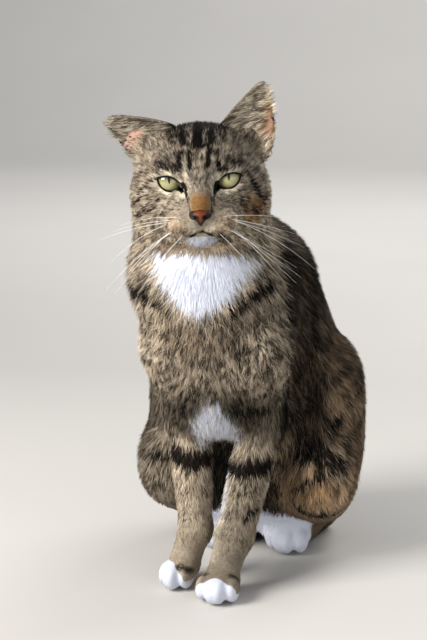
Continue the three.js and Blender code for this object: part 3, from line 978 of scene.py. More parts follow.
@dataclass
class Markings:
    """The tabby pattern and the white, as shares of dark, white, warm and pale at any point, with painted
    light and shade in the lightness and in some of the dark.
    """

    cat: Anatomy
    noise: Noise
    face_dark: tuple[Stroke, ...] = (
        line(4.6, 1.0, (0, 40, 36), (0, 22, 35.5), (0.4, 8, 32), (0.6, -3, 25.5)),
        line(3.2, 1.0, (-11, 40, 34), (-11, 18, 34), (-10.3, 7, 31), (-8.6, -2, 26.4)),
        line(3.2, 1.0, (11, 40, 34), (10.5, 18, 34), (9.2, 8, 31.5), (9.2, -2, 26)),
        line(1.6, 0.8, (-19, 34, 31), (-19, 12, 31), (-16, 0, 26)),
        line(1.6, 0.8, (19, 34, 31), (19, 12, 31), (17, 0, 26)),
        line(7.0, 0.7, (-14, 20, 34), (14, 20, 34)),
        line(2.0, 0.95, (-10.6, -8, 21.5), (-12.6, -11.9, 15.2), (-14.8, -12.5, 11.2)),
        line(2.0, 1.0, (-4.7, -4, 25.5), (-5.4, -9, 20), (-6.6, -13.8, 12.9)),
        line(1.9, 1.0, (6.5, -4, 25.5), (7.2, -9, 20), (6.5, -13.9, 12.9)),
        line(2.0, 0.95, (11.6, -8, 21.5), (12.7, -11, 17), (14.2, -13, 9.6)),
        glow(5.0, 0.85, (-27, -7.5, 15.5), (-21, -11.1, 12.8), (-16.5, -12.3, 11.6)),
        glow(4.6, 0.68, (18.5, -12.3, 9), (24, -10, 12.7), (29, -6, 14.5)),
        line(1.1, 1.0, (-25.5, -10.8, 5.9), (-34.3, -3.2, 3.2), (-39.4, -0.7, -3.3), (-42, 1, -10),
             (-46, 12, -15)),
        line(1.5, 1.0, (28.5, -9, 4.6), (33.5, -4.5, 5), (37.6, -2.3, -1), (39.5, -1, -10), (44, 8, -15)),
        glow(2.2, 0.6, (34, -3, 11), (40, 4, 6), (44, 8, -2)),
        glow(2.4, 0.5, (28.3, -8, -12.2), (33.1, -4.9, -16.8), (37, -2, -20.5), (42, 10, -25)),
        glow(1.7, 0.55, (-29, -8.5, -10), (-35.6, -3.1, -15.5), (-41, 0.5, -18.5), (-45, 12, -24)),
        line(1.3, 0.4, (-27, -13, -15), (-35, -4, -22)),
        line(2.0, 0.5, (-34, -3, 12), (-40, 5, 8)),
        glow(2.8, 0.8, (11.5, -29.5, -31.5), (14.9, -18.1, -36.3), (19.3, -7.8, -42.0)),
        glow(1.7, 0.5, (-8.2, -24.2, -5), (-7.8, -29, -9.5), (-8.0, -33, -14)),
        glow(2.0, 0.6, (8.8, -24, -5.8), (8.5, -28, -10), (8.7, -31.3, -14.3)),
        # The next two: the mouth line, partly dark lips and partly painted shade in its crease, then painted
        # shade down the groove below the nose.
        glow(1.1, 0.8, (-5.5, -30.2, -30.2), (-3.4, -30.8, -29.4), (0.2, -31.2, -28.2), (3.4, -30.8, -29.4),
             (5.5, -30.2, -30.2)),
        glow(0.8, 0.7, (0.2, -36.8, -23.4), (0.2, -32.5, -28.2)),
    )
    tears: tuple[Stroke, ...] = (
        line(1.9, 1.2, (-11.6, -15.0, 0.8), (-9.6, -18.4, -3.2), (-9.3, -20.4, -5.0)),
        glow(1.3, 0.7, (-9.3, -20.4, -5.0), (-8.5, -25, -8.5)),
        line(2.1, 1.2, (13.2, -14.2, 0.2), (11.7, -17, -4.4)),
        glow(1.5, 0.8, (11.7, -17, -4.4), (10.0, -25.1, -10.3)),
    )
    # Painted shade: a dark stroke down the groove behind the left shoulder, where shade falls.
    groove: Stroke = line(
        12, 1.0, (46, 42, 232), (50, 37, 205), (51, 34, 179), (48, 42, 150), (48, 41, 122), (47, 42, 104)
    )
    # Partly a darker saddle of fur, partly painted shade down the left flank behind the shoulder.
    saddle_and_painted_shade: Stroke = line(17, 0.95, (62, 54, 238), (60, 58, 200), (58, 62, 168), (56, 62, 132), (54, 60, 104))
    throat: Stroke = line(3.0, 0.9, (-16, -8, -43.6), (-6.1, -7.4, -46.6), (9.9, -8.9, -46))
    toes: tuple[Stroke, ...] = (
        glow(4.8, 0.62, (-24, 1, 19), (-18, 1, 17), (-13, 6, 15)),
        glow(3.6, 0.54, (-8, -7, 17), (-3, -11, 19)),
        glow(3.6, 0.58, (15, -10, 18), (20, -6, 15)),
    )
    face_pale: tuple[Stroke, ...] = (
        glow(0.8, 0.6, (-5.5, 14, 33.5), (-4.4, 4, 30), (-4.9, -5, 24.2)),
        glow(0.8, 0.6, (5.0, 14, 33.5), (4.6, 4, 30), (3.9, -2.5, 26.2)),
        glow(1.0, 0.45, (-7.4, -10.6, 18.2), (-9.0, -13.5, 12.5), (-9.5, -15, 7.4)),
        glow(1.3, 0.5, (10.1, -11, 17), (11.1, -13.4, 10.5), (11.2, -14.5, 5.6)),
        glow(1.9, 0.6, (-9.3, -14.8, 7.8), (-8.2, -19.5, 1.0)),
        glow(1.9, 1.0, (11.0, -14.3, 6.0), (9.1, -18.9, 0.3)),
        glow(1.9, 0.8, (-25.1, -10.8, -2.6), (-18.6, -12.4, -4.9), (-15.0, -14.3, -4.6)),
        glow(1.8, 1.0, (14.6, -13.7, -4.6), (19.8, -12.1, -5.2), (25.2, -10.9, -2.2)),
        glow(1.5, 0.7, (-24.5, -10.5, 9.5), (-18, -12.4, 7.6)),
        glow(1.5, 0.7, (20, -12.4, 7.2), (26, -9.5, 8.6)),
        glow(2.6, 0.9, (-6.4, -34.0, -23.0), (-3.4, -31.8, -27.0)),
        glow(2.6, 0.9, (7.5, -34.2, -23.5), (4.3, -31.9, -27.3)),
    )
    body_dark: tuple[Stroke, ...] = (
        glow(3.8, 1.4, (-62, 28, 213), (-54, 8, 211), (-43.7, -1.8, 208.7), (-31.8, -7.2, 202.6)),
        glow(3.8, 1.4, (7.2, -7.6, 201.8), (17.2, -3.8, 207), (26.5, 3, 211.7), (36.7, 18.3, 216.5)),
        glow(2.0, 0.6, (23, 5, 238), (30, 13.6, 233), (38, 22, 226)),
        glow(2.4, 0.4, (-56, 14, 190), (-44, 2, 186)),
        glow(2.4, 0.4, (38, 16, 196), (30, 6, 190), (20, 0, 188)),
        # Painted shade in the gap between the forelegs, drawn as dark fur.
        glow(4.6, 0.55, (-9.3, 36, 100), (-9.3, 36.1, 84)),
        glow(3.2, 0.95, (18, 15.4, 125.6), (23.7, 16.6, 126.4), (34, 22, 128)),
        glow(5.0, 0.6, (-46, 36, 108), (-42, 28, 104)),
        glow(5.6, 1.4, (-40, 28, 91), (-30.6, 23, 89), (-21.8, 22.9, 88.5), (-8, 33, 88)),
        glow(5.4, 1.4, (0, 32, 85), (12, 18, 85), (23.7, 17.1, 86), (36, 26, 88)),
        glow(2.4, 0.6, (15, 11.5, 68), (22, 12.7, 71), (29, 20, 74)),
        glow(2.6, 0.8, (20, 10, 53), (25.1, 13, 56), (27, 22, 59)),
        glow(2.4, 0.6, (-12.2, 22.5, 63), (-11, 27, 61)),
        glow(2.0, 0.35, (-32, 24, 66), (-25, 18.8, 62)),
        glow(2.2, 0.35, (-30, 24, 46), (-22, 17, 44)),
        glow(3.6, 0.95, (68, 70, 103), (71.8, 74.8, 107.3), (74, 80, 110)),
        glow(3.6, 0.9, (79, 71, 92), (81, 78, 97)),
        glow(4.6, 0.8, (72, 108, 132), (78, 116, 136)),
        glow(3.2, 0.8, (44, 60, 62), (48, 57, 63)),
        # The next two are painted shade drawn as dark fur, between the left foreleg and haunch and beneath
        # the haunch.
        glow(9.0, 0.85, (48, 58.5, 89), (62.9, 57.6, 90), (78, 64, 79)),
        glow(5.0, 0.9, (44, 70, 42), (56, 66, 38), (72, 74, 40)),
    )

    def white(self, p: Array, q: Array) -> Array:
        """The bib, the patch between the forelegs, the feet and the chin.

        Args:
            p: points in body axes.
            q: the same points in head axes.

        Returns:
            The share of white at each point.
        """
        x, y, z = p
        rough = self.noise(p, 6.0)
        t = np.clip((z - 193.0) / 48.0, 0.0, 1.0)
        half = 45.0 * t**0.5 + 1.2 * rough
        bib = ramp(half - np.abs(x + 8.3), -2.2, 2.4) * (t > 0)
        tip = fall(np.abs(x + 5.5) + 0.12 * (205 - z), 1.4, 4.0)
        bib = np.maximum(bib, tip * (z > 180) * (z < 205)) * fall(y, 16, 30)
        bib = bib * fall(z + 0.12 * y + rough, 233.5, 240.0)
        t = np.clip((139.0 - z) / 24.0, 0.0, 1.0)
        half = 18.0 * t**0.8 - 0.3 * np.maximum(106 - z, 0) + 2.0 * rough
        notch = 1 - spot(p, (-6, 30, 97), (5, 40, 9))
        lower = 0.9 * ramp(half - np.abs(x + 4.5), -4.5, 4.5) * fall(y, 30, 44)
        lower = lower * (t > 0) * ramp(z, 89, 97) * notch
        fore = np.zeros_like(rough)
        for side, lean, edge in ((LEFT, 0.0, -8.6), (RIGHT, 0.8, -7.6)):
            limb = self.cat.forelegs[side]
            local = turned(limb.toe_out, 0, 0).T @ (p - vec(limb.paw))
            score = local[1] + 0.55 * local[2] + lean * local[0] + (1 - lean) * 0.35 * np.abs(local[0])
            near = (np.abs(local[0]) < 24) & (local[2] < 16) & (np.abs(local[1]) < 40)
            fore = np.maximum(fore, fall(score + 0.8 * rough, edge - 1.5, edge + 1.5) * near)
            low = (local[2] < -4) & (local[1] < 4)
            fore = np.maximum(fore, near & low)
        aside = np.abs(x - 2)
        hind = fall(z + 1.5 * rough + 0.5 * np.maximum(y - 104, 0.0) + 0.3 * (aside - 40), 25.0, 30.0)
        hind = hind * fall(y, 106, 114) * (y >= 50) * (z < 40) * fall(aside, 44, 50)
        inner = 0.55 * spot(p, (1, 24, 66), (6, 20, 28)) * (x > -7)
        chin = spot(q, (-0.5, -29, -35), (14.5, 11, 5.8), 0.1, 1.45) * fall(q[2], -31.4, -30.0)
        return np.clip(most(bib * (q[2] < -38), lower, fore, hind, chin, inner), 0, 1)

    def bars(self, p: Array, q: Array, on_tail: Array) -> Array:
        """The stripes of the back and flanks, the bars of the legs and the rings of the tail.

        Args:
            p: points in body axes.
            q: the same points in head axes.
            on_tail: whether each lies on the tail.

        Returns:
            The share of dark at each point.
        """
        x, y, z = p
        drift = 9.0 * self.noise(p, 46.0) + 3.0 * self.noise(p, 17.0)
        broken = ramp(self.noise(p, 21.0), -0.45, 0.25)
        down = 0.42 * (y - 60) - 0.9 * (z - 250) + drift + 0.12 * np.abs(x)
        body = ramp(np.sin(down * 2 * np.pi / 23.0), -0.1, 0.9) * (0.3 + 0.7 * broken)
        body = 0.8 * body * ramp(y + 0.25 * z, 96, 136)
        spine = fall(np.abs(x - 3.0 + 0.18 * (y - 130)), 5, 11) * ramp(y + 0.62 * z, 215, 235)
        body = np.maximum(body, 0.9 * spine * (y < 205))
        legs = ramp(np.sin((z + 0.25 * y + drift) * 2 * np.pi / 17.0), -0.1, 0.9)
        legs = legs * (0.35 + 0.65 * broken)
        on_leg = (y < 60) * (z < 84) * (z > 26) * (0.35 + 0.65 * ramp(y, 16, 30))
        side = ramp(np.sin((z - 0.5 * y + drift) * 2 * np.pi / 19.0), 0.1, 0.85) * broken
        on_chest = (z > 100) * (z < 205) * ramp(np.abs(x + 8), 24, 40) * (y < 70)
        share = np.arctan2(x + 30.0, y - 240.0) * 70.0 + drift * 0.4
        rings = np.maximum(ramp(np.sin(share * 2 * np.pi / 26.0), -0.2, 0.5), x < -76)
        nape = ramp(np.cos((q[0] + 1.0) * 2 * np.pi / 11.0), -0.1, 0.7) * fall(np.abs(q[0]), 18, 26)
        on_nape = ramp(q[1], 34, 42) * (q[2] > -40)
        flecks = 0.42 * ramp(self.noise(p * vec((1, 1, 0.4)), 2.6) + 0.5 * self.noise(p, 13.0), 0.1, 0.7)
        flecks = flecks * (z > 110) * (0.6 + 0.4 * spot(p, (-6, 0, 150), (60, 60, 34)))
        found = most(body, 0.7 * legs * on_leg, 0.5 * side * on_chest, 0.8 * nape * on_nape, flecks)
        return np.where(on_tail, rings, found)

    def whisker_dots(self, q: Array) -> Array:
        """The small dark spots that the whiskers grow from.

        Args:
            q: points in head axes.

        Returns:
            The share of dark at each point.
        """
        dots = np.zeros(q.shape[1], np.float32)
        m = mirrored(q)
        for row, column in product(range(5), range(5)):
            across, down = 9.5 + 2.7 * column + 0.7 * (row % 2), 18.2 + 2.1 * row + 0.35 * column
            off = m - vec((across, -32 + 2.4 * column, -down))
            dots = np.maximum(dots, fall(size_of(off * vec((1, 0.25, 1))), 0.35, 0.95))
        return dots * (q[1] < -16)

    def ears(self, q: Array) -> tuple[Array, Array, Array]:
        """The pale rim, the front and the back of the ears.

        Args:
            q: points in head axes.

        Returns:
            Three shares for each point.
        """
        rim, front, back = (np.zeros(q.shape[1], np.float32) for _ in range(3))
        for side in SIDES:
            height, _, off, outside, _ = self.cat.ears[side].place(q)
            on_ear = (np.abs(off) < 3.0) & (outside < 2) & (height > 0.0)
            rim = np.maximum(rim, on_ear * ramp(outside, -1.1, -0.4) * ramp(height, 0.1, 0.25))
            front = np.maximum(front, on_ear & (off < 0))
            back = np.maximum(back, on_ear & (off >= 0))
        return rim, front, back

    def flesh(self, q: Array) -> Array:
        """How bare and pink the skin is: low in the hollows of the ears.

        Args:
            q: points in head axes.

        Returns:
            A share for each point.
        """
        found = np.zeros(q.shape[1], np.float32)
        hollows = ((LEFT, 0.44, 0.6, 0.26, 0.26, 0.45), (RIGHT, 0.26, 0.42, 0.16, 0.5, 1.0))
        for side, height, across, tall, wide, share in hollows:
            up, over, off, outside, _ = self.cat.ears[side].place(q)
            hollow = (outside < -1.5) & (off < 0) & (off > -3.5)
            patch = fall(np.hypot((up - height) / tall, (over - across) / wide), 0.6, 1.2)
            found = np.maximum(found, hollow * patch * share)
        return found

    def round_eyes(self, q: Array) -> Array:
        """The cream ring outside the lids, brightest below and at the inner corner.

        Args:
            q: points in head axes.

        Returns:
            A share for each point.
        """
        out, m = self.cat.almond(q), mirrored(q)
        ring = ramp(out, 0.5, 1.0) * fall(out, 2.6, 4.6) * (q[1] < -2) * (np.abs(q[2]) < 16)
        below = fall(m[2] + 0.25 * (m[0] - 20), -1.0, 3.0)
        inner = fall(m[0], 12.5, 16)
        return ring * np.maximum(np.maximum(below, 0.9 * inner), 0.3)

    def pattern(self, at: Site) -> tuple[Array, Array, Array, Array]:
        """The dark and pale lines and the white.

        Args:
            at: the points.

        Returns:
            Shares of dark, white and pale, and the cream ring round the eyes.
        """
        p, q = at.p, at.q
        wobble = 0.7 * np.stack([self.noise(p + 40 * n, 4.0) for n in range(3)])
        front = at.on_head * drawn(self.face_dark, q + wobble, at.aside)
        pale = at.on_head * drawn(self.face_pale, q + 0.6 * wobble, at.aside)
        ring = self.round_eyes(q)
        tear = at.on_head * drawn(self.tears, q, at.aside)
        pale = np.maximum(pale, ring) * (1 - np.minimum(tear, 1))
        wide = 2.6 * np.stack([self.noise(p + 70 * n, 9.0) for n in range(3)])
        lines = drawn(self.body_dark, p + wide, at.normal)
        front = np.maximum(front, 0.75 * spot(q, (0, 15, 34), (22, 26, 9), 0.6, 1.2) * at.on_head)
        bars = self.bars(p, q, at.on_tail) * np.where(at.on_head & (q[1] < 34), 0.0, 1.0)
        dark = most(front, np.where(at.on_head, 0, lines), bars)
        dark = most(dark * (1 - 0.85 * pale), 0.5 * self.whisker_dots(q), tear)
        over = drawn(self.toes, p, at.normal) * (p[2] < 26)
        white = self.white(p, q) * (1 - over)
        return np.maximum(dark * (1 - white), over), white, pale, ring

    def bridge(self, at: Site) -> Array:
        """The warm inset along the top of the nose."""
        inset = fall(np.abs(at.q[0] - 0.7 + 0.8 * self.noise(at.p, 3.0)), 4.0, 8.8)
        return inset * fall(at.q[2] + self.noise(at.p, 2.5), -6.8, -0.6) * (at.q[2] > -17) * (at.q[1] < -21)

    def ear_strip(self, at: Site, in_ear: Array) -> Array:
        """The warm strip of short hair in the front of each ear.

        Args:
            at: the points.
            in_ear: whether each lies on the front of an ear.

        Returns:
            Its share at each point.
        """
        strip = 0.0
        for side, up, over, share in ((LEFT, 0.5, 0.65, 0.8), (RIGHT, 0.2, 0.45, 0.15)):
            height, across, _, _, _ = self.cat.ears[side].place(at.q)
            near = fall(np.hypot((height - up) / 0.3, (across - over) / 0.35), 0.5, 1.2)
            strip = np.maximum(strip, share * near * in_ear)
        return strip

    def warmth(self, at: Site, bridge: Array, pads: Array, strip: Array) -> Array:
        """The ginger tint of the nose, pads, throat, cheek, shin, breast, belly and left flank.

        Args:
            at: the points.
            bridge: the share of the nose's inset.
            pads: the share of the whisker pads.
            strip: the share of the strips in the ears.

        Returns:
            How warm each point is.
        """
        p = at.p
        _, y, z = p
        breast = 0.12 * spot(p, (-10, -2, 184), (34, 50, 15))
        olive = 0.42 * ramp(y, 45, 70) * at.leftward * (1 - 0.5 * at.rearward)
        belly = 0.3 * (z < 70) * (y > 75) * (y < 190)
        throat = self.throat.mask(at.q, at.aside)
        head = most(bridge, 0.42 * pads, throat, 0.9 * at.cheek, strip)
        return most(head, 0.62 * at.shin, breast, belly, 0.45 * at.collar, olive)

    def head_lightness_and_painted_light(self, at: Site, strip: Array, in_ear: Array, behind_ear: Array) -> Array:
        """How light the coat of the head is, with painted shade on the left cheek and painted light on the
        left whisker pad and the front of the left ear.

        Args:
            at: the points.
            strip: the share of the strips in the ears.
            in_ear: whether each point lies on the front of an ear.
            behind_ear: whether each lies on the back of an ear.

        Returns:
            The lightness, about 1 where the coat is lightest.
        """
        q = at.q
        lower_face = fall(q[2] + 0.25 * np.abs(q[0]), -4, 8)
        crown = spot(q, (0, 10, 34), (26, 26, 14))
        # The cheek term is painted shade on the left cheek, the side away from the key light.
        head = 0.61 + 0.21 * lower_face - 0.26 * at.cheek - 0.22 * crown - 0.2 * behind_ear
        # The second spot is painted light on the left whisker pad, where the fill light is weak.
        head = head + 0.08 * spot(q, (0, -5, 23), (15, 16, 11)) + 0.25 * spot(q, (17, -27, -22), (12, 14, 9))
        # The front of the left ear is lifted with painted light, as it lies in shade from the key light.
        return head + in_ear * np.where(q[0] > 0, 0.45 - 0.45 * strip, -0.06)

    def body_lightness_and_painted_light(self, at: Site, dark: Array, white: Array) -> tuple[Array, Array]:
        """How light the coat of the body is and its broad dark patches, with painted light on the right
        breast, the right foreleg and the top of the left haunch, and painted shade behind the left shoulder,
        down the left flank, under the belly and round the left haunch.

        Args:
            at: the points.
            dark: the share of dark so far.
            white: the share of white.

        Returns:
            The lightness and the new share of dark, both holding painted shade.
        """
        p = at.p
        x, y, z = p
        arm = ramp(100 - z, -14, 14) * fall(y, 50, 62)
        # Painted light and shade: the right foreleg, on the key light's side, lighter than the left.
        arm_painted_light_and_shade = np.where(x > -4, 0.81, 1.18) - np.where(x > -4, 0.18, 0.16) * fall(z, 40, 75)
        rear = ramp(y + 0.1 * z - 0.12 * x, 60, 100)
        # The spot is painted light on the right breast, which faces the key light.
        breast = 0.82 + 0.28 * spot(p, (-50, 8, 178), (28, 50, 46))
        breast = breast - 0.6 * spot(p, (0, 20, 124), (64, 50, 27))
        # The spot is painted light on the top of the left haunch.
        back = 0.41 + 0.18 * spot(p, (72, 88, 116), (26, 34, 16)) + 0.92 * at.shin
        back = back - 0.16 * (1 - at.leftward) + 0.08 * at.rearward
        # Painted shade behind the left foreleg, where it meets the flank.
        back = back * (1 - 0.55 * spot(p, (42, 64, 84), (18, 26, 42)))
        # Painted shade on the lower side of the left haunch.
        back = back * (1 - 0.6 * spot(p, (76, 84, 96), (26, 34, 17), 0.4, 1.2))
        body = breast * (1 - rear) + back * rear + 0.1 * at.shin
        body = body * (1 - 0.14 * ramp(-x, 40, 60) * ramp(y, 40, 60))
        # The collar under the chin is lifted with painted light against the shade of the head above it.
        body = np.maximum(body * (1 - arm) + arm_painted_light_and_shade * arm, 1.15 * at.collar)
        # Painted shade down the left flank, the side away from the key light, with the saddle's darker fur.
        saddle_and_painted_shade = self.saddle_and_painted_shade.mask(p, at.normal)
        flank = (0.46 + 0.38 * ramp(z, 170, 205)) * ramp(y + 0.2 * x, 60, 84) * ramp(z, 120, 165)
        body = body * (1 - np.maximum(0.8 * saddle_and_painted_shade, flank * at.leftward * (1 - at.rearward)))
        # Painted shade under the belly between the legs, also raising the dark share.
        between = fall(np.abs(x + 3), 24, 40) * ramp(y, 42, 54) * fall(z, 90, 104) * (y < 170)
        body, dark = body * (1 - 0.7 * between), np.maximum(dark, 0.5 * between * (1 - white))
        # Painted shade in the groove behind the left shoulder: the coat is darkened and its dark share
        # raised.
        groove = self.groove.mask(p, at.normal)
        return body * (1 - 0.75 * groove), most(dark, 0.42 * saddle_and_painted_shade, 0.8 * groove)

    def colours(self, p: Array, normal: Array) -> tuple[Array, Array]:
        """The markings at points of the skin.

        Args:
            p: points in body axes.
            normal: the outward direction at each.

        Returns:
            Rows of dark, white, warm and pale shares, one row to a point, and the coat's lightness; the
            lightness holds painted light and shade, and the dark some painted shade.
        """
        x, y, z = p
        at = Site(self.cat, p, normal)
        dark, white, pale, ring = self.pattern(at)
        rim, in_ear, behind_ear = self.ears(at.q)
        bridge, strip = self.bridge(at), self.ear_strip(at, in_ear)
        pads = spot(at.m, (15, -25, -23), (12, 14, 7.5))
        warm = self.warmth(at, bridge, pads, strip)
        inner_leg = 0.75 * ramp(-normal[0], 0.25, 0.75) * (x > -9) * (z < 84) * (z > 24)
        inner_leg = inner_leg * (y < 60)
        pale = most(pale, 0.9 * rim, inner_leg, 0.3 * pads, 0.35 * at.collar)
        body, dark = self.body_lightness_and_painted_light(at, dark, white)
        rough = 0.14 * self.noise(p, 14.0) + 0.14 * self.noise(p * vec((1, 1, 0.5)), 4.5)
        light = np.where(at.on_head, self.head_lightness_and_painted_light(at, strip, in_ear, behind_ear), body) * (1 + rough)
        cream = (0.8 + 0.5 * ring * ramp(at.m[0], 12, 16) - light) * pale * at.on_head
        light = light + cream + (0.72 - light) * bridge
        # Painted shade on the white of the belly and the chin; the white of the hind feet is lighter.
        white_lightness_and_painted_shade = 1.12 + 0.15 * (y > 60) * (z < 40) - 0.22 * (z > 88) * (z < 150) - 0.42 * at.on_head
        light = light * (1 - white) + white_lightness_and_painted_shade * white
        warm, pale = warm * (1 - white) * (1 - dark), pale * (1 - white)
        return np.stack([dark, white, warm, pale], 1), light


# ---- the lie of the coat ----
def nearness(distance: Array) -> Array:
    """How much a part's hair counts at points, by their distance outside the part."""
    reach, furthest = 4.0, 60.0
    return np.exp(-np.clip(distance, -reach, furthest) / reach)


@dataclass
class Lie:
    """Which way the hair lies and how long it is, anywhere on the skin."""

    cat: Anatomy
    noise: Noise

    def head_way(self, q: Array) -> Array:
        """The hair's direction on the head: away from the nose, then back and down the nape.

        Args:
            q: points in head axes.

        Returns:
            Directions in head axes, of any length.
        """
        away = unit(q - vec(self.cat.nose_tip))
        low = fall(q[2], -16, 4)
        sideways = np.stack([0.35 * low * np.sign(q[0]), 0.45 + 0 * low, -0.55 * low])
        nape = ramp(q[1], 28, 62) * vec((0, 0.1, -1.6))
        return away + sideways + nape

    def ear_way(self, q: Array, side: int, front: Array) -> Array:
        """The hair's direction on an ear: to the tip behind, and out across the cup in front.

        Args:
            q: points in head axes.
            side: LEFT or RIGHT.
            front: whether each is on the front.

        Returns:
            Directions in head axes.
        """
        _, matrix, _ = self.cat.ears[side].axes()
        rise = unit(vec(matrix[:, 1]))
        return np.where(front, 0.8 * rise + 0.75 * vec(matrix[:, 0]), rise + 0.0 * q)

    def way(self, p: Array, part: dict[str, Array]) -> Array:
        """The direction of the hair, blended between the parts by how near each is.

        Args:
            p: points in body axes.
            part: each part's form at the points.

        Returns:
            Directions, of any length.
        """
        x, y, z = p
        q = self.cat.to_head(p)
        outward = np.sign(x + 8.0) * ramp(np.abs(x + 8.0), 0, 24)
        front = fall(y, 10, 44)
        spread = 0.16 + 0.5 * ramp(z, 185, 225) + 0.42 * spot(p, (-6, 0, 158), (60, 60, 30))
        trunk = np.stack([
            front * outward * spread + 0.22 * self.noise(p, 34.0),
            0.12 + 0.5 * (1 - front) + 0.7 * ramp(y, 150, 205) * fall(z, 40, 110),
            -1.0 + 0 * x,
        ])
        tail = np.zeros_like(p)
        for (a, _), (b, _) in zip(self.cat.tail_stations, self.cat.tail_stations[1:]):
            _, off = along_bar(p, a, b)
            tail += unit(vec(b) - vec(a)) / (size_of(off) ** 4 + 1.0)
        head = self.cat.head_axes @ unit(self.head_way(q))
        ways = [("trunk", trunk), ("head", head), ("tail", unit(tail))]
        for side in SIDES:
            paw = fall(z, 16, 30)
            toe = turned(self.cat.forelegs[side].toe_out, 0, 0) @ vec((0, -1, -0.35))
            ways.append((f"foreleg{side}", vec((0, 0.12, -1)) * (1 - paw) + toe * paw))
            foot = fall(z, 20, 36) * fall(y, 120, 150)
            toe = turned(-10 * side, 0, 0) @ vec((0, -1, -0.35))
            thigh = vec((0.1 * side, 0.45, -0.9)) + vec((0, 0.5, 0.1)) * fall(z, 30, 70)
            ways.append((f"hindleg{side}", thigh * (1 - foot) + toe * foot))
        total = np.zeros_like(p)
        for name, direction in ways:
            total += unit(direction) * nearness(part[name])
        return total

    def length(self, p: Array, part: dict[str, Array]) -> Array:
        """The hair's length: shortest round the nose and on the feet, longest on neck and chest.

        Args:
            p: points in body axes.
            part: each part's form at the points.

        Returns:
            The length at each point.
        """
        away = size_of(self.cat.to_head(p) - vec(self.cat.nose_tip))
        legs = 2.8 + 6.2 * ramp(p[2], 14, 105)
        hind = 3.0 + 7.5 * ramp(p[2], 20, 80)
        lengths = {"head": np.clip(1.5 + 0.095 * (away - 7.0), 1.5, 8.5), "tail": 8.0 + 0 * legs}
        lengths["trunk"] = 10.5 + 3.5 * ramp(p[2], 140, 215) * fall(p[1], 40, 90)
        for side in SIDES:
            lengths[f"foreleg{side}"], lengths[f"hindleg{side}"] = legs, hind
        total, weight = 0.0, 0.0
        for name, value in lengths.items():
            share = nearness(part[name])
            total, weight = total + value * share, weight + share
        return total / weight


# ---- shader groups ----
def group_of(name: str, inputs: dict[str, tuple[str, float]], outputs: dict[str, str]) -> NodeTree:
    """A new shader node group with named sockets.

    Args:
        name: the group's name.
        inputs: each input's kind and default.
        outputs: each output's kind.

    Returns:
        The empty group.
    """
    tree = bpy.data.node_groups.new(name, "ShaderNodeTree")
    for label, (kind, value) in inputs.items():
        socket = tree.interface.new_socket(label, in_out="INPUT", socket_type=f"NodeSocket{kind}")
        if kind == "Float":
            socket.default_value = value
    for label, kind in outputs.items():
        tree.interface.new_socket(label, in_out="OUTPUT", socket_type=f"NodeSocket{kind}")
    return tree


class Wiring:
    """Adds nodes to a tree and links them, so that a material reads as a list of steps."""

    def __init__(self, tree: NodeTree) -> None:
        """Keeps the tree."""
        self.tree = tree

    def node(self, kind: str, *values: object, **settings: object) -> Node:
        """A node of the shader family.

        Args:
            kind: its type, without the family's name.
            values: what its first inputs take, in order, or None for one that is left alone.
            settings: its properties.

        Returns:
            The node.
        """
        node = self.tree.nodes.new(f"ShaderNode{kind}")
        for key, value in settings.items():
            setattr(node, key, value)
        for socket, value in zip(node.inputs, values):
            if value is not None:
                self.link(value, socket)
        return node

    def link(self, source: object, target: object) -> None:
        """Feeds a socket from another, or sets it to a value, or to a colour written as text.

        Args:
            source: a socket, a value or a colour.
            target: the socket to feed.
        """
        if isinstance(source, Socket):
            self.tree.links.new(source, target)
        else:
            target.default_value = linear(source) if isinstance(source, str) else source

    def maths(self, operation: str, a: object, b: object = 0.0, c: object = 0.0) -> Socket:
        """The result of arithmetic on two or three values."""
        return self.node("Math", a, b, c, operation=operation).outputs[0]

    def step(self, value: object, low: float, high: float) -> Socket:
        """A smooth rise of a value from 0 at low to 1 at high, or a fall where low is above high."""
        ends = (low, high, 0.0, 1.0)
        return self.node("MapRange", value, *ends, interpolation_type="SMOOTHSTEP").outputs[0]

    def mix(self, share: object, a: object, b: object) -> Socket:
        """Two colours mixed: their sockets come after five for other kinds of value."""
        return self.node("Mix", share, *[None] * 5, a, b, data_type="RGBA").outputs[2]

    def noise(self, vector: object, scale: object, detail: float = 2.0) -> Socket:
        """Noise from 0 to 1."""
        return self.node("TexNoise", vector, None, scale, detail).outputs["Fac"]

    def kept(self, name: str, output: str = "Fac") -> Socket:
        """What is kept under a name at the mesh's points: a value, a colour or a vector."""
        return self.node("Attribute", attribute_name=name).outputs[output]

    def times(self, a: object, b: object) -> Socket:
        """The product of two values."""
        return self.maths("MULTIPLY", a, b)

    def place(self) -> Socket:
        """The object's own coordinates."""
        return self.node("TexCoord").outputs["Object"]

    def placed(self, tree: NodeTree, **values: object) -> Node:
        """A shader group put to use with its own values.

        Args:
            tree: the group.
            values: a value or socket for each input.

        Returns:
            The group's node.
        """
        node = self.node("Group", node_tree=tree)
        for label, value in values.items():
            self.link(value, node.inputs[label])
        return node


def linear(colour: str) -> tuple[float, float, float, float]:
    """A colour written as six hexadecimal digits, in the renderer's linear values."""
    channels = [int(colour[n : n + 2], 16) / 255 for n in (0, 2, 4)]
    return (*[c / 12.92 if c <= 0.04045 else ((c + 0.055) / 1.055) ** 2.4 for c in channels], 1.0)


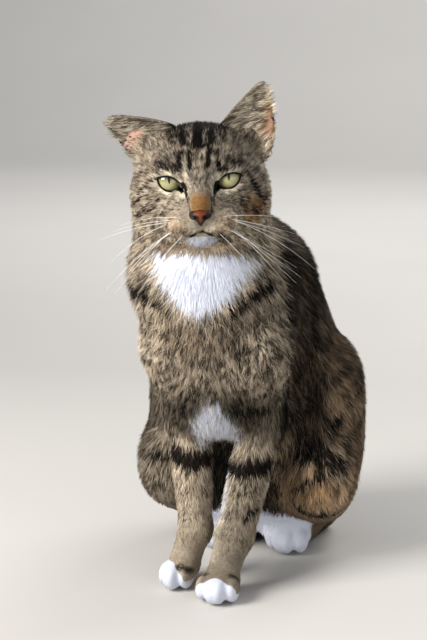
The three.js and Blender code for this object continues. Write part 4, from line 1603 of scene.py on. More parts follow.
@dataclass(frozen=True)
class TabbyFinish:
    """The colours of the hair."""

    root: str = "6c6351"
    band: str = "b4a48f"
    tip: str = "2a231b"
    dark: str = "1a1512"
    dark_root: str = "3a3028"
    white: str = "ebeffc"
    white_root: str = "d8dcea"
    warm: str = "b3834f"
    warm_dark: str = "8c6238"
    cream: str = "e2d5bd"

    def group(self) -> NodeTree:
        """The colour along a hair, from its place in the markings and its own tone.

        Returns:
            The group, whose output is the colour.
        """
        inputs = {"Marks": ("Color", 0.0)}
        inputs |= {name: ("Float", 0.5) for name in ("Pale", "Along", "Tone", "Light")}
        tree = group_of("Tabby hair", inputs, {"Color": "Color"})
        w = Wiring(tree)
        source = tree.nodes.new("NodeGroupInput").outputs
        dark, white, warm = w.node("SeparateColor", source["Marks"]).outputs
        along, tone = source["Along"], source["Tone"]
        hair = w.mix(w.step(along, 0.05, 0.45), self.root, self.band)
        warm_hair = w.mix(w.step(along, 0.0, 0.6), self.warm_dark, self.warm)
        hair = w.mix(warm, hair, warm_hair)
        hair = w.mix(source["Pale"], hair, self.cream)
        ticked = w.times(w.step(along, 0.35, 0.8), w.step(tone, 0.58, 0.3))
        calm = w.maths("SUBTRACT", 0.92, w.times(source["Pale"], 0.7))
        hair = w.mix(w.times(ticked, calm), hair, self.tip)
        black = w.mix(w.step(along, 0.1, 0.5), self.dark_root, self.dark)
        hair = w.mix(w.step(w.maths("MULTIPLY_ADD", tone, -0.25, dark), 0.1, 0.55), hair, black)
        snow = w.mix(w.step(along, 0.0, 0.4), self.white_root, self.white)
        hair = w.mix(w.step(white, 0.35, 0.65), hair, snow)
        swing = w.maths("SUBTRACT", 1.25, w.times(white, 1.13))
        swing = w.times(swing, w.maths("SUBTRACT", tone, 0.5))
        value = w.times(source["Light"], w.maths("ADD", 1.0, swing))
        varied = w.node("HueSaturation", None, None, value, None, hair)
        w.link(varied.outputs[0], tree.nodes.new("NodeGroupOutput").inputs["Color"])
        return tree


def grain_group() -> NodeTree:
    """Fine unevenness of a surface, as a value and as a bumped normal.

    Returns:
        The group.
    """
    inputs = {"Scale": ("Float", 900.0), "Height": ("Float", 0.0002)}
    tree = group_of("Fine grain", inputs, {"Value": "Float", "Normal": "Vector"})
    w = Wiring(tree)
    source = tree.nodes.new("NodeGroupInput").outputs
    noise = w.noise(w.place(), source["Scale"], 3.0)
    bump = w.node("Bump", 1.0, source["Height"], None, noise)
    target = tree.nodes.new("NodeGroupOutput").inputs
    w.link(noise, target["Value"])
    w.link(bump.outputs["Normal"], target["Normal"])
    return tree


def blank(name: str, roughness: float, specular: float) -> tuple[Material, Wiring, Node]:
    """A material with one principled shader, its wiring and the shader.

    Args:
        name: the material's name.
        roughness: its roughness.
        specular: its specular level.

    Returns:
        The three.
    """
    material = bpy.data.materials.new(name)
    material.use_nodes = True
    shader = next(n for n in material.node_tree.nodes if n.type == "BSDF_PRINCIPLED")
    shader.inputs["Roughness"].default_value = roughness
    shader.inputs["Specular IOR Level"].default_value = specular
    return material, Wiring(material.node_tree), shader


class Finishes:
    """The materials of the cat, each built once."""

    def __init__(self) -> None:
        """Builds the shared groups and then the materials."""
        self.hair_group = TabbyFinish().group()
        self.grain = grain_group()
        self.coat = self.coat_material()
        self.skin = self.skin_material()
        self.eye = EyeFinish().material(self.grain)
        self.leather = LeatherFinish().material(self.grain)
        self.whisker = self.whisker_material()

    def hair_colour(self, w: Wiring, along: object, tone: object) -> Socket:
        """The tabby group fed from the mesh's own values.

        Args:
            w: the material's wiring.
            along: the place along the hair.
            tone: the hair's own tone.

        Returns:
            The colour.
        """
        marks, pale, light = w.kept("marks", "Color"), w.kept("marks", "Alpha"), w.kept("light")
        hair = w.placed(self.hair_group, Marks=marks, Pale=pale, Light=light, Along=along, Tone=tone)
        return hair.outputs["Color"]

    def coat_material(self) -> Material:
        """Hair in tufts.

        Returns:
            The material.
        """
        material, w, shader = blank("Coat hair", 0.6, 0.06)
        along, tone = w.kept("along"), w.kept("tone")
        w.link(self.hair_colour(w, along, tone), shader.inputs["Base Color"])
        w.link(w.maths("MULTIPLY_ADD", tone, 0.2, 0.5), shader.inputs["Roughness"])
        return material

    def skin_material(self) -> Material:
        """Skin with the short hair that lies flat on it, bare and dark round the eyes and lips, with painted
        shade under the nose leather.

        Returns:
            The material.
        """
        material, w, shader = blank("Skin", 0.7, 0.1)
        grain = w.placed(self.grain, Scale=1400.0, Height=0.0006)
        tone = w.maths("MULTIPLY_ADD", w.noise(w.place(), 700.0, 1.0), 0.6, 0.22)
        along = w.maths("MULTIPLY_ADD", grain.outputs["Value"], 0.6, 0.12)
        colour = self.hair_colour(w, along, tone)
        pink = w.mix(w.noise(w.place(), 160.0), "ad7d69", "e2baa6")
        colour = w.mix(w.kept("flesh"), colour, pink)
        # The rims' dark also paints shade on the skin under the nose leather.
        rim = w.step(w.kept("rim"), 0.3, 0.7)
        colour = w.mix(rim, colour, "0d0b0a")
        w.link(colour, shader.inputs["Base Color"])
        w.link(w.maths("MULTIPLY_ADD", rim, -0.35, 0.72), shader.inputs["Roughness"])
        w.link(grain.outputs["Normal"], shader.inputs["Normal"])
        return material

    def whisker_material(self) -> Material:
        """Stiff white whisker.

        Returns:
            The material.
        """
        material, w, shader = blank("Whisker", 0.35, 0.5)
        w.link(w.mix(w.noise(w.place(), 300.0), "e6e2da", "fbf9f4"), shader.inputs["Base Color"])
        return material


@dataclass(frozen=True)
class EyeFinish:
    """The iris, pupil and wet surface of an eye, with the upper lid's shade painted over the top of the iris.
    Sizes are in millimetres.
    """

    iris: str = "9b9868"
    iris_inner: str = "aca676"
    iris_fleck: str = "84824f"
    iris_edge_and_lid_shade: str = "353a1c"
    pupil: str = "040404"
    pupil_half_width: float = 0.85
    pupil_half_height: float = 3.4
    pupil_rise: float = 2.6
    iris_radius: float = 8.2

    def material(self, grain: NodeTree) -> Material:
        """A glossy eye whose pattern is centred on its own gaze.

        Args:
            grain: the shared grain.

        Returns:
            The material.
        """
        material, w, shader = blank("Eye", 0.12, 0.5)
        shader.inputs["Coat Weight"].default_value = 1.0
        shader.inputs["Coat Roughness"].default_value = 0.03
        x, _, z = w.node("SeparateXYZ", w.kept("gaze", "Vector")).outputs
        radius = w.maths("SQRT", w.maths("ADD", w.times(x, x), w.times(z, z)))
        spokes = w.node("CombineXYZ", w.times(w.maths("ARCTAN2", z, x), 7.0), w.times(radius, 0.22))
        streak = w.noise(spokes.outputs[0], 2.2, 3.0)
        colour = w.mix(w.step(radius, 1.5, 5.5), self.iris_inner, self.iris)
        colour = w.mix(w.times(w.step(streak, 0.45, 0.75), 0.45), colour, self.iris_fleck)
        # The dark ring round the iris, and painted shade of the upper lid over its top.
        rim = w.maths("MAXIMUM", w.step(radius, 5.4, self.iris_radius), w.times(w.step(z, 0.4, 3.4), 0.8))
        colour = w.mix(rim, colour, self.iris_edge_and_lid_shade)
        wide = w.maths("DIVIDE", x, self.pupil_half_width)
        tall = w.maths("DIVIDE", w.maths("SUBTRACT", z, self.pupil_rise), self.pupil_half_height)
        slit = w.maths("ADD", w.maths("ABSOLUTE", wide), w.times(tall, tall))
        colour = w.mix(w.step(slit, 1.15, 0.85), colour, self.pupil)
        w.link(colour, shader.inputs["Base Color"])
        w.link(w.placed(grain, Scale=700.0, Height=0.00001).outputs["Normal"], shader.inputs["Normal"])
        return material


@dataclass(frozen=True)
class LeatherFinish:
    """The bare nose: brick red in the middle, dark along its edges, with painted shade in its nostrils."""

    middle: str = "7e3408"
    shade: str = "4c1f0c"
    edge: str = "1d1310"

    def material(self, grain: NodeTree) -> Material:
        """Pebbled, slightly moist leather.

        Args:
            grain: the shared grain.

        Returns:
            The material.
        """
        material, w, shader = blank("Nose leather", 0.5, 0.25)
        fine = w.placed(grain, Scale=1700.0, Height=0.00022)
        colour = w.mix(w.times(fine.outputs["Value"], 0.5), self.middle, self.shade)
        # The edge colour also paints shade into the nostrils.
        colour = w.mix(w.step(w.kept("edge"), 0.25, 0.75), colour, self.edge)
        w.link(colour, shader.inputs["Base Color"])
        w.link(w.maths("MULTIPLY_ADD", fine.outputs["Value"], 0.3, 0.32), shader.inputs["Roughness"])
        w.link(fine.outputs["Normal"], shader.inputs["Normal"])
        return material


# ---- skin ----
@dataclass
class Skin:
    """One skin for the whole cat, with lids, lips, ears and toes."""

    cat: Anatomy
    place: Place
    markings: Markings
    head_cell: float = 1.2
    body_cell: float = 3.0
    foot_cell: float = 1.6
    shade: float = 0.72

    def spacing(self, z: float) -> float:
        """The size of a cell at a height.

        Args:
            z: the height.

        Returns:
            The cell's size.
        """
        rise = float(ramp(np.array(z), 188, 246))
        drop = 1 - float(ramp(np.array(z), 26, 62))
        at_head, at_feet = self.body_cell - self.head_cell, self.body_cell - self.foot_cell
        return self.body_cell - at_head * rise - at_feet * drop

    def refine_face(self, piece: Piece) -> None:
        """Divides the faces round the eyes, nose and mouth.

        Args:
            piece: the skin.
        """
        bm = bmesh.new()
        bm.from_mesh(piece.data)
        middles = np.array([face.calc_center_median() for face in bm.faces]).T
        q = self.cat.to_head(self.place.millimetres(middles))
        m = mirrored(q)
        eyes = (self.cat.almond(q) < 4.0) & (q[1] < 3) & (np.abs(m[0] - self.cat.eye[0]) < 16)
        nose = size_of((q - vec((0, -32, -20))) / vec((12, 10, 12))) < 1
        lips = self.cat.mouth(q) < 2.5
        bm.faces.ensure_lookup_table()
        chosen = [bm.faces[n] for n in np.nonzero(eyes | nose | lips)[0]]
        edges = list({edge for face in chosen for edge in face.edges})
        bmesh.ops.subdivide_edges(bm, edges=edges, cuts=1, use_grid_fill=True)
        bmesh.ops.triangulate(bm, faces=[face for face in bm.faces if len(face.verts) > 4])
        bm.to_mesh(piece.data)
        bm.free()

    def build(self, finishes: Finishes) -> Piece:
        """Makes and dresses the skin.

        Args:
            finishes: the cat's materials.

        Returns:
            The finished piece.
        """
        form, most_of_cell, most_at_face = self.cat.skin, 0.45, 0.4
        lattice = Lattice((-92, -52, -3), (92, 352, 368), (-3, 20), self.spacing)
        points, faces = lattice.surface(form)
        reach = most_of_cell * np.array([self.spacing(z) for z in points[2]], np.float32)
        points = drawn_onto(self.cat, form, points, reach)
        piece = mesh_of("skin", self.place.metres(points), faces)
        self.refine_face(piece)
        p = self.place.millimetres(points_of(piece.data))
        q = self.cat.to_head(p)
        near = np.nonzero((size_of(q) < 60) & (q[1] < 8))[0]
        p[:, near] = drawn_onto(self.cat, form, p[:, near], most_at_face)
        piece.data.vertices.foreach_set("co", flat(self.place.metres(p)))
        piece.data.update()
        self.dress(piece, p, finishes)
        return piece

    def dress(self, piece: Piece, p: Array, finishes: Finishes) -> None:
        """Stores the markings, the bare rims and the painted shade under the nose leather at the skin's
        points, and sets its material.

        Args:
            piece: the skin.
            p: its points in body axes.
            finishes: the cat's materials.
        """
        normal = unit(self.cat.slope(self.cat.skin, p, 0.4))
        q = self.cat.to_head(p)
        marks, light = self.markings.colours(p, normal)
        store(piece.data, "marks", marks)
        store(piece.data, "light", self.shade * light)
        rim = fall(self.cat.almond(q), 0.9, 1.5) * (q[1] < -2) * (np.abs(q[2]) < 16)
        lips = fall(self.cat.mouth(q), 0.4, 1.1) * (q[1] < -24) * fall(np.abs(q[0]), 6, 12)
        # Painted shade on the skin under the nose leather, seen through the nostrils and at the leather's
        # edge.
        under = fall(self.cat.leather(q), 0.0, 0.6) * (q[1] < -27)
        store(piece.data, "rim", np.maximum.reduce([rim, 0.9 * lips, under]))
        store(piece.data, "flesh", self.markings.flesh(q))
        piece.data.materials.append(finishes.skin)


# ---- coat ----
@dataclass(frozen=True)
class Growth:
    """How densely tufts grow on one part, and their shape.

    Width and lock, the distance between the locks that hairs gather into, are in millimetres. Grain is
    the size of the patches of one tone, and lift the angle that hairs stand off the skin, in degrees.
    """

    count: int
    width: float
    lift: float
    lock: float
    gather: float
    grain: float
    contrast: float


@dataclass
class Coat:
    """Tufts of hair over the whole skin, in one piece for each part."""

    cat: Anatomy
    place: Place
    markings: Markings
    lie: Lie
    noise: Noise
    seed: int = 11
    patch: float = 0.003
    root_depth: float = 0.3
    ridge: float = 0.32
    scatter: float = 0.1
    floor_gap: float = 0.25
    growths: dict[Part, Growth] = field(default_factory=lambda: {
        Part.FACE_LEFT: Growth(42000, 0.42, 15, 2.4, 0.25, 1.1, 0.7),
        Part.FACE_RIGHT: Growth(42000, 0.42, 15, 2.4, 0.25, 1.1, 0.7),
        Part.CROWN: Growth(40000, 0.5, 16, 3.0, 0.25, 1.3, 0.95),
        Part.EARS: Growth(18000, 0.4, 14, 3.0, 0.15, 1.3, 0.7),
        Part.NECK: Growth(46000, 0.6, 19, 5.0, 0.4, 2.2, 0.6),
        Part.CHEST: Growth(46000, 0.62, 22, 5.0, 0.55, 2.2, 0.7),
        Part.FLANK_LEFT: Growth(31000, 0.75, 15, 6.0, 0.3, 3.0, 0.5),
        Part.FLANK_RIGHT: Growth(26000, 0.8, 15, 6.0, 0.3, 3.0, 0.5),
        Part.HAUNCH_LEFT: Growth(24000, 0.75, 15, 5.0, 0.3, 3.0, 0.5),
        Part.HAUNCH_RIGHT: Growth(20000, 0.8, 15, 5.0, 0.3, 3.0, 0.5),
        Part.FORELEGS: Growth(26000, 0.55, 14, 4.0, 0.25, 1.5, 0.42),
        Part.PAWS: Growth(12000, 0.45, 13, 3.0, 0.2, 2.0, 0.3),
        Part.TAIL: Growth(15000, 0.7, 13, 6.0, 0.3, 3.0, 0.4),
    })

    def owners(self, p: Array, part: dict[str, Array]) -> Array:
        """Which part each point belongs to, as its number in the Part list.

        Args:
            p: points in body axes.
            part: each part's form at the points.

        Returns:
            The number of the part at each point.
        """
        x, y, z = p
        q = self.cat.to_head(p)
        order = {member: n for n, member in enumerate(Part)}
        names = ["trunk", "head", "tail", "foreleg1", "foreleg-1", "hindleg1", "hindleg-1"]
        nearest = np.argmin(np.stack([part[name] for name in names]), 0)
        arm = (nearest == 3) | (nearest == 4)
        on_ear = np.zeros(p.shape[1], bool)
        for side in SIDES:
            _, _, off, outside, _ = self.cat.ears[side].place(q)
            on_ear |= (np.abs(off) < 2.2) & (outside < 0.6)
        rules = [
            (nearest == 2, Part.TAIL),
            ((nearest >= 3) & (z < 30) & (y < 132), Part.PAWS),
            (arm & (z <= 140), Part.FORELEGS),
            (arm | ((nearest == 0) & (z <= 196) & (y < 34)), Part.CHEST),
            (nearest == 5, Part.HAUNCH_LEFT),
            (nearest == 6, Part.HAUNCH_RIGHT),
            ((nearest == 1) & on_ear, Part.EARS),
            ((nearest == 1) & (q[1] >= 6), Part.CROWN),
            ((nearest == 1) & (q[0] > 0), Part.FACE_LEFT),
            (nearest == 1, Part.FACE_RIGHT),
            ((z > 196) & (y < 84), Part.NECK),
            (x > 1.0, Part.FLANK_LEFT),
        ]
        where, which = zip(*rules)
        return np.select(where, [order[member] for member in which], order[Part.FLANK_RIGHT])

    def bare(self, p: Array) -> Array:
        """Whether a point grows no tuft: the lids' rims, the nose leather, the lips and the soles.

        Args:
            p: points in body axes.

        Returns:
            True where nothing grows.
        """
        q = self.cat.to_head(p)
        eyes = (self.cat.almond(q) < 1.1) & (q[1] < 2) & (np.abs(q[2] - 2) < 14)
        leather = (self.cat.leather(q) < 0.2) & (q[1] < -27)
        lips = (self.cat.mouth(q) < 0.7) & (q[1] < -20)
        pink = (self.markings.flesh(q) > 0.3) & (self.noise(p, 0.7) > -0.5)
        return eyes | leather | lips | pink | (p[2] < 1.6)

    def grow(self, skin: Piece, finishes: Finishes) -> list[Piece]:
        """Grows every part's tufts.

        Args:
            skin: the finished skin.
            finishes: the cat's materials.

        Returns:
            The pieces of the coat.
        """
        mesh = skin.data
        mesh.calc_loop_triangles()
        corners = np.zeros(len(mesh.loop_triangles) * 3, np.int32)
        mesh.loop_triangles.foreach_get("vertices", corners)
        triangle = self.place.millimetres(points_of(mesh))[:, corners].reshape(3, -1, 3)
        area = size_of(cross(triangle[..., 1] - triangle[..., 0], triangle[..., 2] - triangle[..., 0])) / 2
        middle = triangle.mean(2)
        owner = self.owners(middle, self.cat.parts(middle, 1.0))
        draw = np.random.default_rng(self.seed)
        pieces = []
        for number, part in enumerate(Part):
            growth = self.growths[part]
            own = np.nonzero(owner == number)[0]
            total = np.cumsum(area[own])
            places = (np.arange(growth.count) + draw.uniform(0, 1, growth.count)) * total[-1] / growth.count
            pick = own[np.minimum(np.searchsorted(total, places), len(own) - 1)]
            u, v = draw.uniform(0, 1, (2, growth.count))
            fold = u + v > 1
            u, v = np.where(fold, 1 - u, u), np.where(fold, 1 - v, v)
            a, b, c = (triangle[:, pick, n] for n in range(3))
            p = (a + u * (b - a) + v * (c - a)).astype(np.float32)
            pieces.append(self.piece(part, p[:, ~self.bare(p)], draw, finishes))
        return pieces

    def piece(self, part: Part, p: Array, draw: np.random.Generator, finishes: Finishes) -> Piece:
        """The tufts of one part as one mesh.

        Args:
            part: which part they grow on.
            p: where each grows.
            draw: the source of chance.
            finishes: the cat's materials.

        Returns:
            The finished piece.
        """
        growth, n = self.growths[part], p.shape[1]
        normal = unit(self.cat.slope(self.cat.skin, p, 0.5))
        forms = self.cat.parts(p, 1.0)
        way, length = self.lie.way(p, forms), self.lie.length(p, forms)
        lift = np.full(n, growth.lift)
        if part is Part.EARS:
            way, length, lift = self.ear_hair(p, normal, draw)
        way = unit(way)
        way = unit(way - normal * dot(way, normal))
        length = length * draw.uniform(0.7, 1.2, n)
        marks, light = self.markings.colours(p + 0.5 * length * way, normal)
        tips = p + 0.95 * length * way
        marks[:, 1] = np.minimum(marks[:, 1], self.markings.white(tips, self.cat.to_head(tips)))
        marks[:, :2] += 0.3 * draw.normal(0, 1, (n, 2)) * (marks[:, :2] > 0.04) * (marks[:, :2] < 0.96)
        snow = marks[:, 1]
        lock = self.noise.centres(p, growth.lock) - p
        gather = growth.gather * np.clip(1 - 0.8 * snow, 0, 1) * 2.0 / growth.lock
        way = way + gather * lock + self.scatter * draw.normal(0, 1, (3, n))
        way = unit(way - normal * dot(way, normal))
        lift = np.radians(lift) * draw.uniform(0.55, 1.25, n) * np.clip(1 - 0.4 * snow, 0.5, 1)
        width = growth.width * draw.uniform(0.8, 1.25, n) * np.clip(length / 5.0, 0.7, 1.0)
        tone = 0.5 + growth.contrast * 1.3 * self.noise(p * vec((1, 1, 0.5)), growth.grain)
        muzzle = spot(mirrored(self.cat.to_head(p)), (15, -25, -23), (14, 14, 12))
        bridge = spot(self.cat.to_head(p), (0.7, -30, -10), (9, 14, 9))
        arms = fall(p[2], 34, 84)
        ruff = spot(p, (-8, -8, 240), (36, 24, 10))
        calm = 1 - np.maximum.reduce([0.45 * arms, 0.25 * muzzle, 0.85 * bridge, 0.6 * ruff])
        tone = np.clip(0.5 + 0.07 * arms + calm * (tone - 0.5 + 0.22 * draw.normal(0, 1, n)), 0, 1)
        if part is Part.EARS:
            marks, light = self.ear_colours(p, marks, light, tone)
        side, roll = cross(way, normal), draw.normal(0, 0.35, n)
        side, up = side * np.cos(roll) + normal * np.sin(roll), normal * np.cos(roll) - side * np.sin(roll)
        root, ridge = p - self.root_depth * normal, self.ridge * width
        tip = root + length * (np.cos(lift) * way + np.sin(lift) * normal)
        corners = [root - side * width / 2, root + side * width / 2, root + up * ridge, tip]
        tilt = 0.5 - 0.35 * np.clip(snow, 0, 1)
        shades = [normal - tilt * side, normal + tilt * side, normal, normal + 0.3 * way]
        points = np.stack(corners, 2).reshape(3, -1)
        points[2] = np.maximum(points[2], self.floor_gap)
        sides = np.array([(1, 3, 2), (0, 2, 3), (0, 3, 1), (0, 1, 2)])
        faces = (np.arange(n)[:, None, None] * 4 + sides).reshape(-1, 3)
        piece = mesh_of(f"coat_{part.value}", self.place.metres(points), faces)
        store(piece.data, "marks", marks.repeat(4, 0))
        store(piece.data, "light", light.repeat(4))
        store(piece.data, "tone", tone.repeat(4))
        store(piece.data, "along", np.tile((0.0, 0.0, 0.0, 1.0), n))
        half = self.patch / 2
        patch = np.array([(-half, -0.6 * half), (half, -0.6 * half), (0, -half), (0, half)]).T
        spots = self.unwrap(part, p).repeat(4, 1) + np.tile(patch, n)
        layer = piece.data.uv_layers.new(name="OFBake")
        layer.uv.foreach_set("vector", flat(spots.T[faces.ravel()]))
        normals = unit(np.stack([unit(shade) for shade in shades], 2).reshape(3, -1))
        piece.data.normals_split_custom_set_from_vertices(normals.T)
        piece.data.materials.append(finishes.coat)
        return piece

    def ear_hair(self, p: Array, normal: Array, draw: np.random.Generator) -> tuple[Array, Array, Array]:
        """The direction, length and lift of the ears' hair: long and loose in front, short behind.

        Args:
            p: the roots.
            normal: the outward direction at each.
            draw: the source of chance.

        Returns:
            Directions, lengths, and lifts in degrees.
        """
        q = self.cat.to_head(p)
        way, front, inset = np.zeros_like(p), np.zeros(p.shape[1], bool), np.zeros(p.shape[1], np.float32)
        for side in SIDES:
            own = (q[0] > 0) == (side == LEFT)
            back = self.cat.head_axes @ vec(self.cat.ears[side].back)
            ahead = dot(normal, back) < 0
            along = self.cat.head_axes @ self.lie.ear_way(q, side, ahead)
            way = np.where(own, along, way)
            inset = np.where(own, -self.cat.ears[side].place(q)[3], inset)
            front |= own & ahead
        long_hair = front & (draw.uniform(0, 1, p.shape[1]) < 0.4) & (inset > 3.0)
        length = np.where(long_hair, 7.5, 3.2) * np.clip(inset / 4.0, 0.3, 1.0)
        return way, length, np.where(long_hair, 20.0, 9.0)

    def ear_colours(self, p: Array, marks: Array, light: Array, tone: Array) -> tuple[Array, Array]:
        """Grey and white strands over the hollows of the ears.

        Args:
            p: the roots.
            marks: their shares of each marking.
            light: their lightness.
            tone: their own tones.

        Returns:
            The new shares and lightness.
        """
        q = self.cat.to_head(p)
        rim, front, _ = self.markings.ears(q)
        strand = front * (1 - rim) * (1 - np.minimum(1.4 * self.markings.flesh(q), 1))
        pale = np.clip(strand * ramp(tone, 0.45, 0.8) * 0.6, 0, 1)
        marks[:, 3] = np.maximum(marks[:, 3], pale)
        return marks, np.maximum(light, 0.75 * pale)

    def unwrap(self, part: Part, p: Array) -> Array:
        """Where each root lies on the skin laid flat: round the part and along it, each from 0 to 1.

        Args:
            part: which part they grow on.
            p: the roots.

        Returns:
            Two rows of places.
        """
        x, y, z = p
        q = self.cat.to_head(p)
        if part in (Part.FACE_LEFT, Part.FACE_RIGHT, Part.CROWN, Part.EARS):
            ahead = 1 if part is Part.CROWN else -1
            round_head, out = np.arctan2(q[0], ahead * (q[1] - 14)), np.hypot(q[0], q[1] - 14)
            rows = np.stack([round_head, np.arctan2(q[2] + 4, out)])
        elif part is Part.TAIL:
            along = np.arctan2(x + 30, y - 240)
            rows = np.stack([along, np.arctan2(z - 12, np.hypot(x + 30, y - 240) - 85)])
        elif part in (Part.FORELEGS, Part.PAWS):
            left, rear = x > -5, y > 60
            middle = np.where(rear, np.where(left, 32.0, -28.0), np.where(left, 15.0, -27.0))
            along = np.where(rear, 112.0, np.where(part is Part.PAWS, 6.0, 28.0))
            rows = np.stack([np.arctan2(x - middle, y - along) + 7.0 * left, z + 60.0 * rear])
        else:
            ahead = -1 if part in (Part.NECK, Part.CHEST) else 1
            rows = np.stack([np.arctan2(x, ahead * (y - 70)), z])
        low, high = rows.min(1, keepdims=True), rows.max(1, keepdims=True)
        return 0.01 + 0.98 * (rows - low) / (high - low)


# ---- eyes, nose and whiskers ----
@dataclass
class Eyes:
    """Two eyeballs with a bulging cornea, set behind the lids."""

    cat: Anatomy
    place: Place
    rings: int = 48
    cornea: float = 0.45
    cornea_edge: tuple[float, float] = (0.72, 0.98)

    def build(self, side: int, name: str, finishes: Finishes) -> Piece:
        """One eyeball, with each point's place as seen along its gaze.

        Args:
            side: LEFT or RIGHT.
            name: the piece's name.
            finishes: the cat's materials.

        Returns:
            The finished piece.
        """
        row = 2 * self.rings
        lifts, turns = np.meshgrid(
            np.linspace(0, np.pi, self.rings + 1)[1:-1], np.arange(row) * np.pi / self.rings, indexing="ij"
        )
        around = np.stack([np.sin(lifts) * np.cos(turns), -np.cos(lifts), np.sin(lifts) * np.sin(turns)])
        points = np.concatenate([around.reshape(3, -1), [[0, 0], [-1, 1], [0, 0]]], 1)
        bulge = self.cat.eye_radius + self.cornea * ramp(-points[1], *self.cornea_edge)
        local = (points * bulge).astype(np.float32)
        count = row * (self.rings - 1)
        faces = []
        for n in range(row):
            after = (n + 1) % row
            faces += [(count, n, after), (count + 1, count - row + after, count - row + n)]
            for ring in range(0, count - row, row):
                a, b = ring + n, ring + after
                faces += [(a, a + row, b + row), (a, b + row, b)]
        head = local + vec((self.cat.eye[0] * side, self.cat.eye[1], self.cat.eye[2]))
        piece = mesh_of(name, self.place.metres(self.cat.from_head(head)), np.array(faces))
        layer = piece.data.attributes.new("gaze", "FLOAT_VECTOR", "POINT")
        layer.data.foreach_set("vector", flat(local.T))
        bm = bmesh.new()
        bm.from_mesh(piece.data)
        bmesh.ops.recalc_face_normals(bm, faces=bm.faces)
        bm.to_mesh(piece.data)
        bm.free()
        piece.data.shade_smooth()
        piece.data.materials.append(finishes.eye)
        return piece


@dataclass
class Nose:
    """The nose leather with its nostrils and the groove below them."""

    cat: Anatomy
    place: Place
    cell: float = 0.34

    def nostrils(self, q: Array) -> Array:
        """The openings of the nostrils and their slits to the side.

        Args:
            q: points in head axes.

        Returns:
            Its value at each point.
        """
        m = mirrored(q)
        f = bone(m, (2.9, -39.0, -17.6), (3.1, -34.8, -17.2), 1.15, 0.9)
        return join(f, bone(m, (3.1, -37.4, -17.3), (6.4, -35.0, -16.4), 0.9, 0.6), 0.8)

    def form(self, q: Array) -> Array:
        """The leather, in head axes.

        Args:
            q: points in head axes.

        Returns:
            Its value at each point.
        """
        pad = join(self.cat.head(q, 0.0) + 0.1, ball(q, (0, -33.2, -16.9), (5.4, 4.2, 3.4)), 1.5)
        wings = ball(mirrored(q), (5.0, -32.6, -16.3), (2.3, 3.2, 2.3))
        f = carve(join(pad, wings, 1.0), -self.cat.leather(q), 1.2)
        f = carve(f, self.nostrils(q), 0.5)
        return carve(f, bone(q, (0, -39.2, -17.8), (0, -34.6, -23.5), 0.35, 0.5), 0.5)

    def build(self, finishes: Finishes) -> Piece:
        """Makes and dresses the leather.

        Args:
            finishes: the cat's materials.

        Returns:
            The finished piece.
        """
        lattice = Lattice((-9, -41, -25), (9, -24, -11), (0, -32), lambda z: self.cell)
        points, faces = lattice.surface(self.form)
        points = drawn_onto(self.cat, self.form, points, 0.15)
        piece = mesh_of("nose_leather", self.place.metres(self.cat.from_head(points)), faces)
        side = 0.7 * ramp(np.abs(points[0]), 2.4, 4.6)
        edge = ramp(self.cat.leather(points), -2.5, -1.0) * (1 - 0.55 * ramp(points[2], -16.6, -15.0))
        # Painted shade in the nostrils and at their rims.
        painted_nostril_shade = fall(self.nostrils(points), 0.4, 1.5)
        store(piece.data, "edge", np.maximum.reduce([edge, painted_nostril_shade, side]))
        piece.data.materials.append(finishes.leather)
        return piece


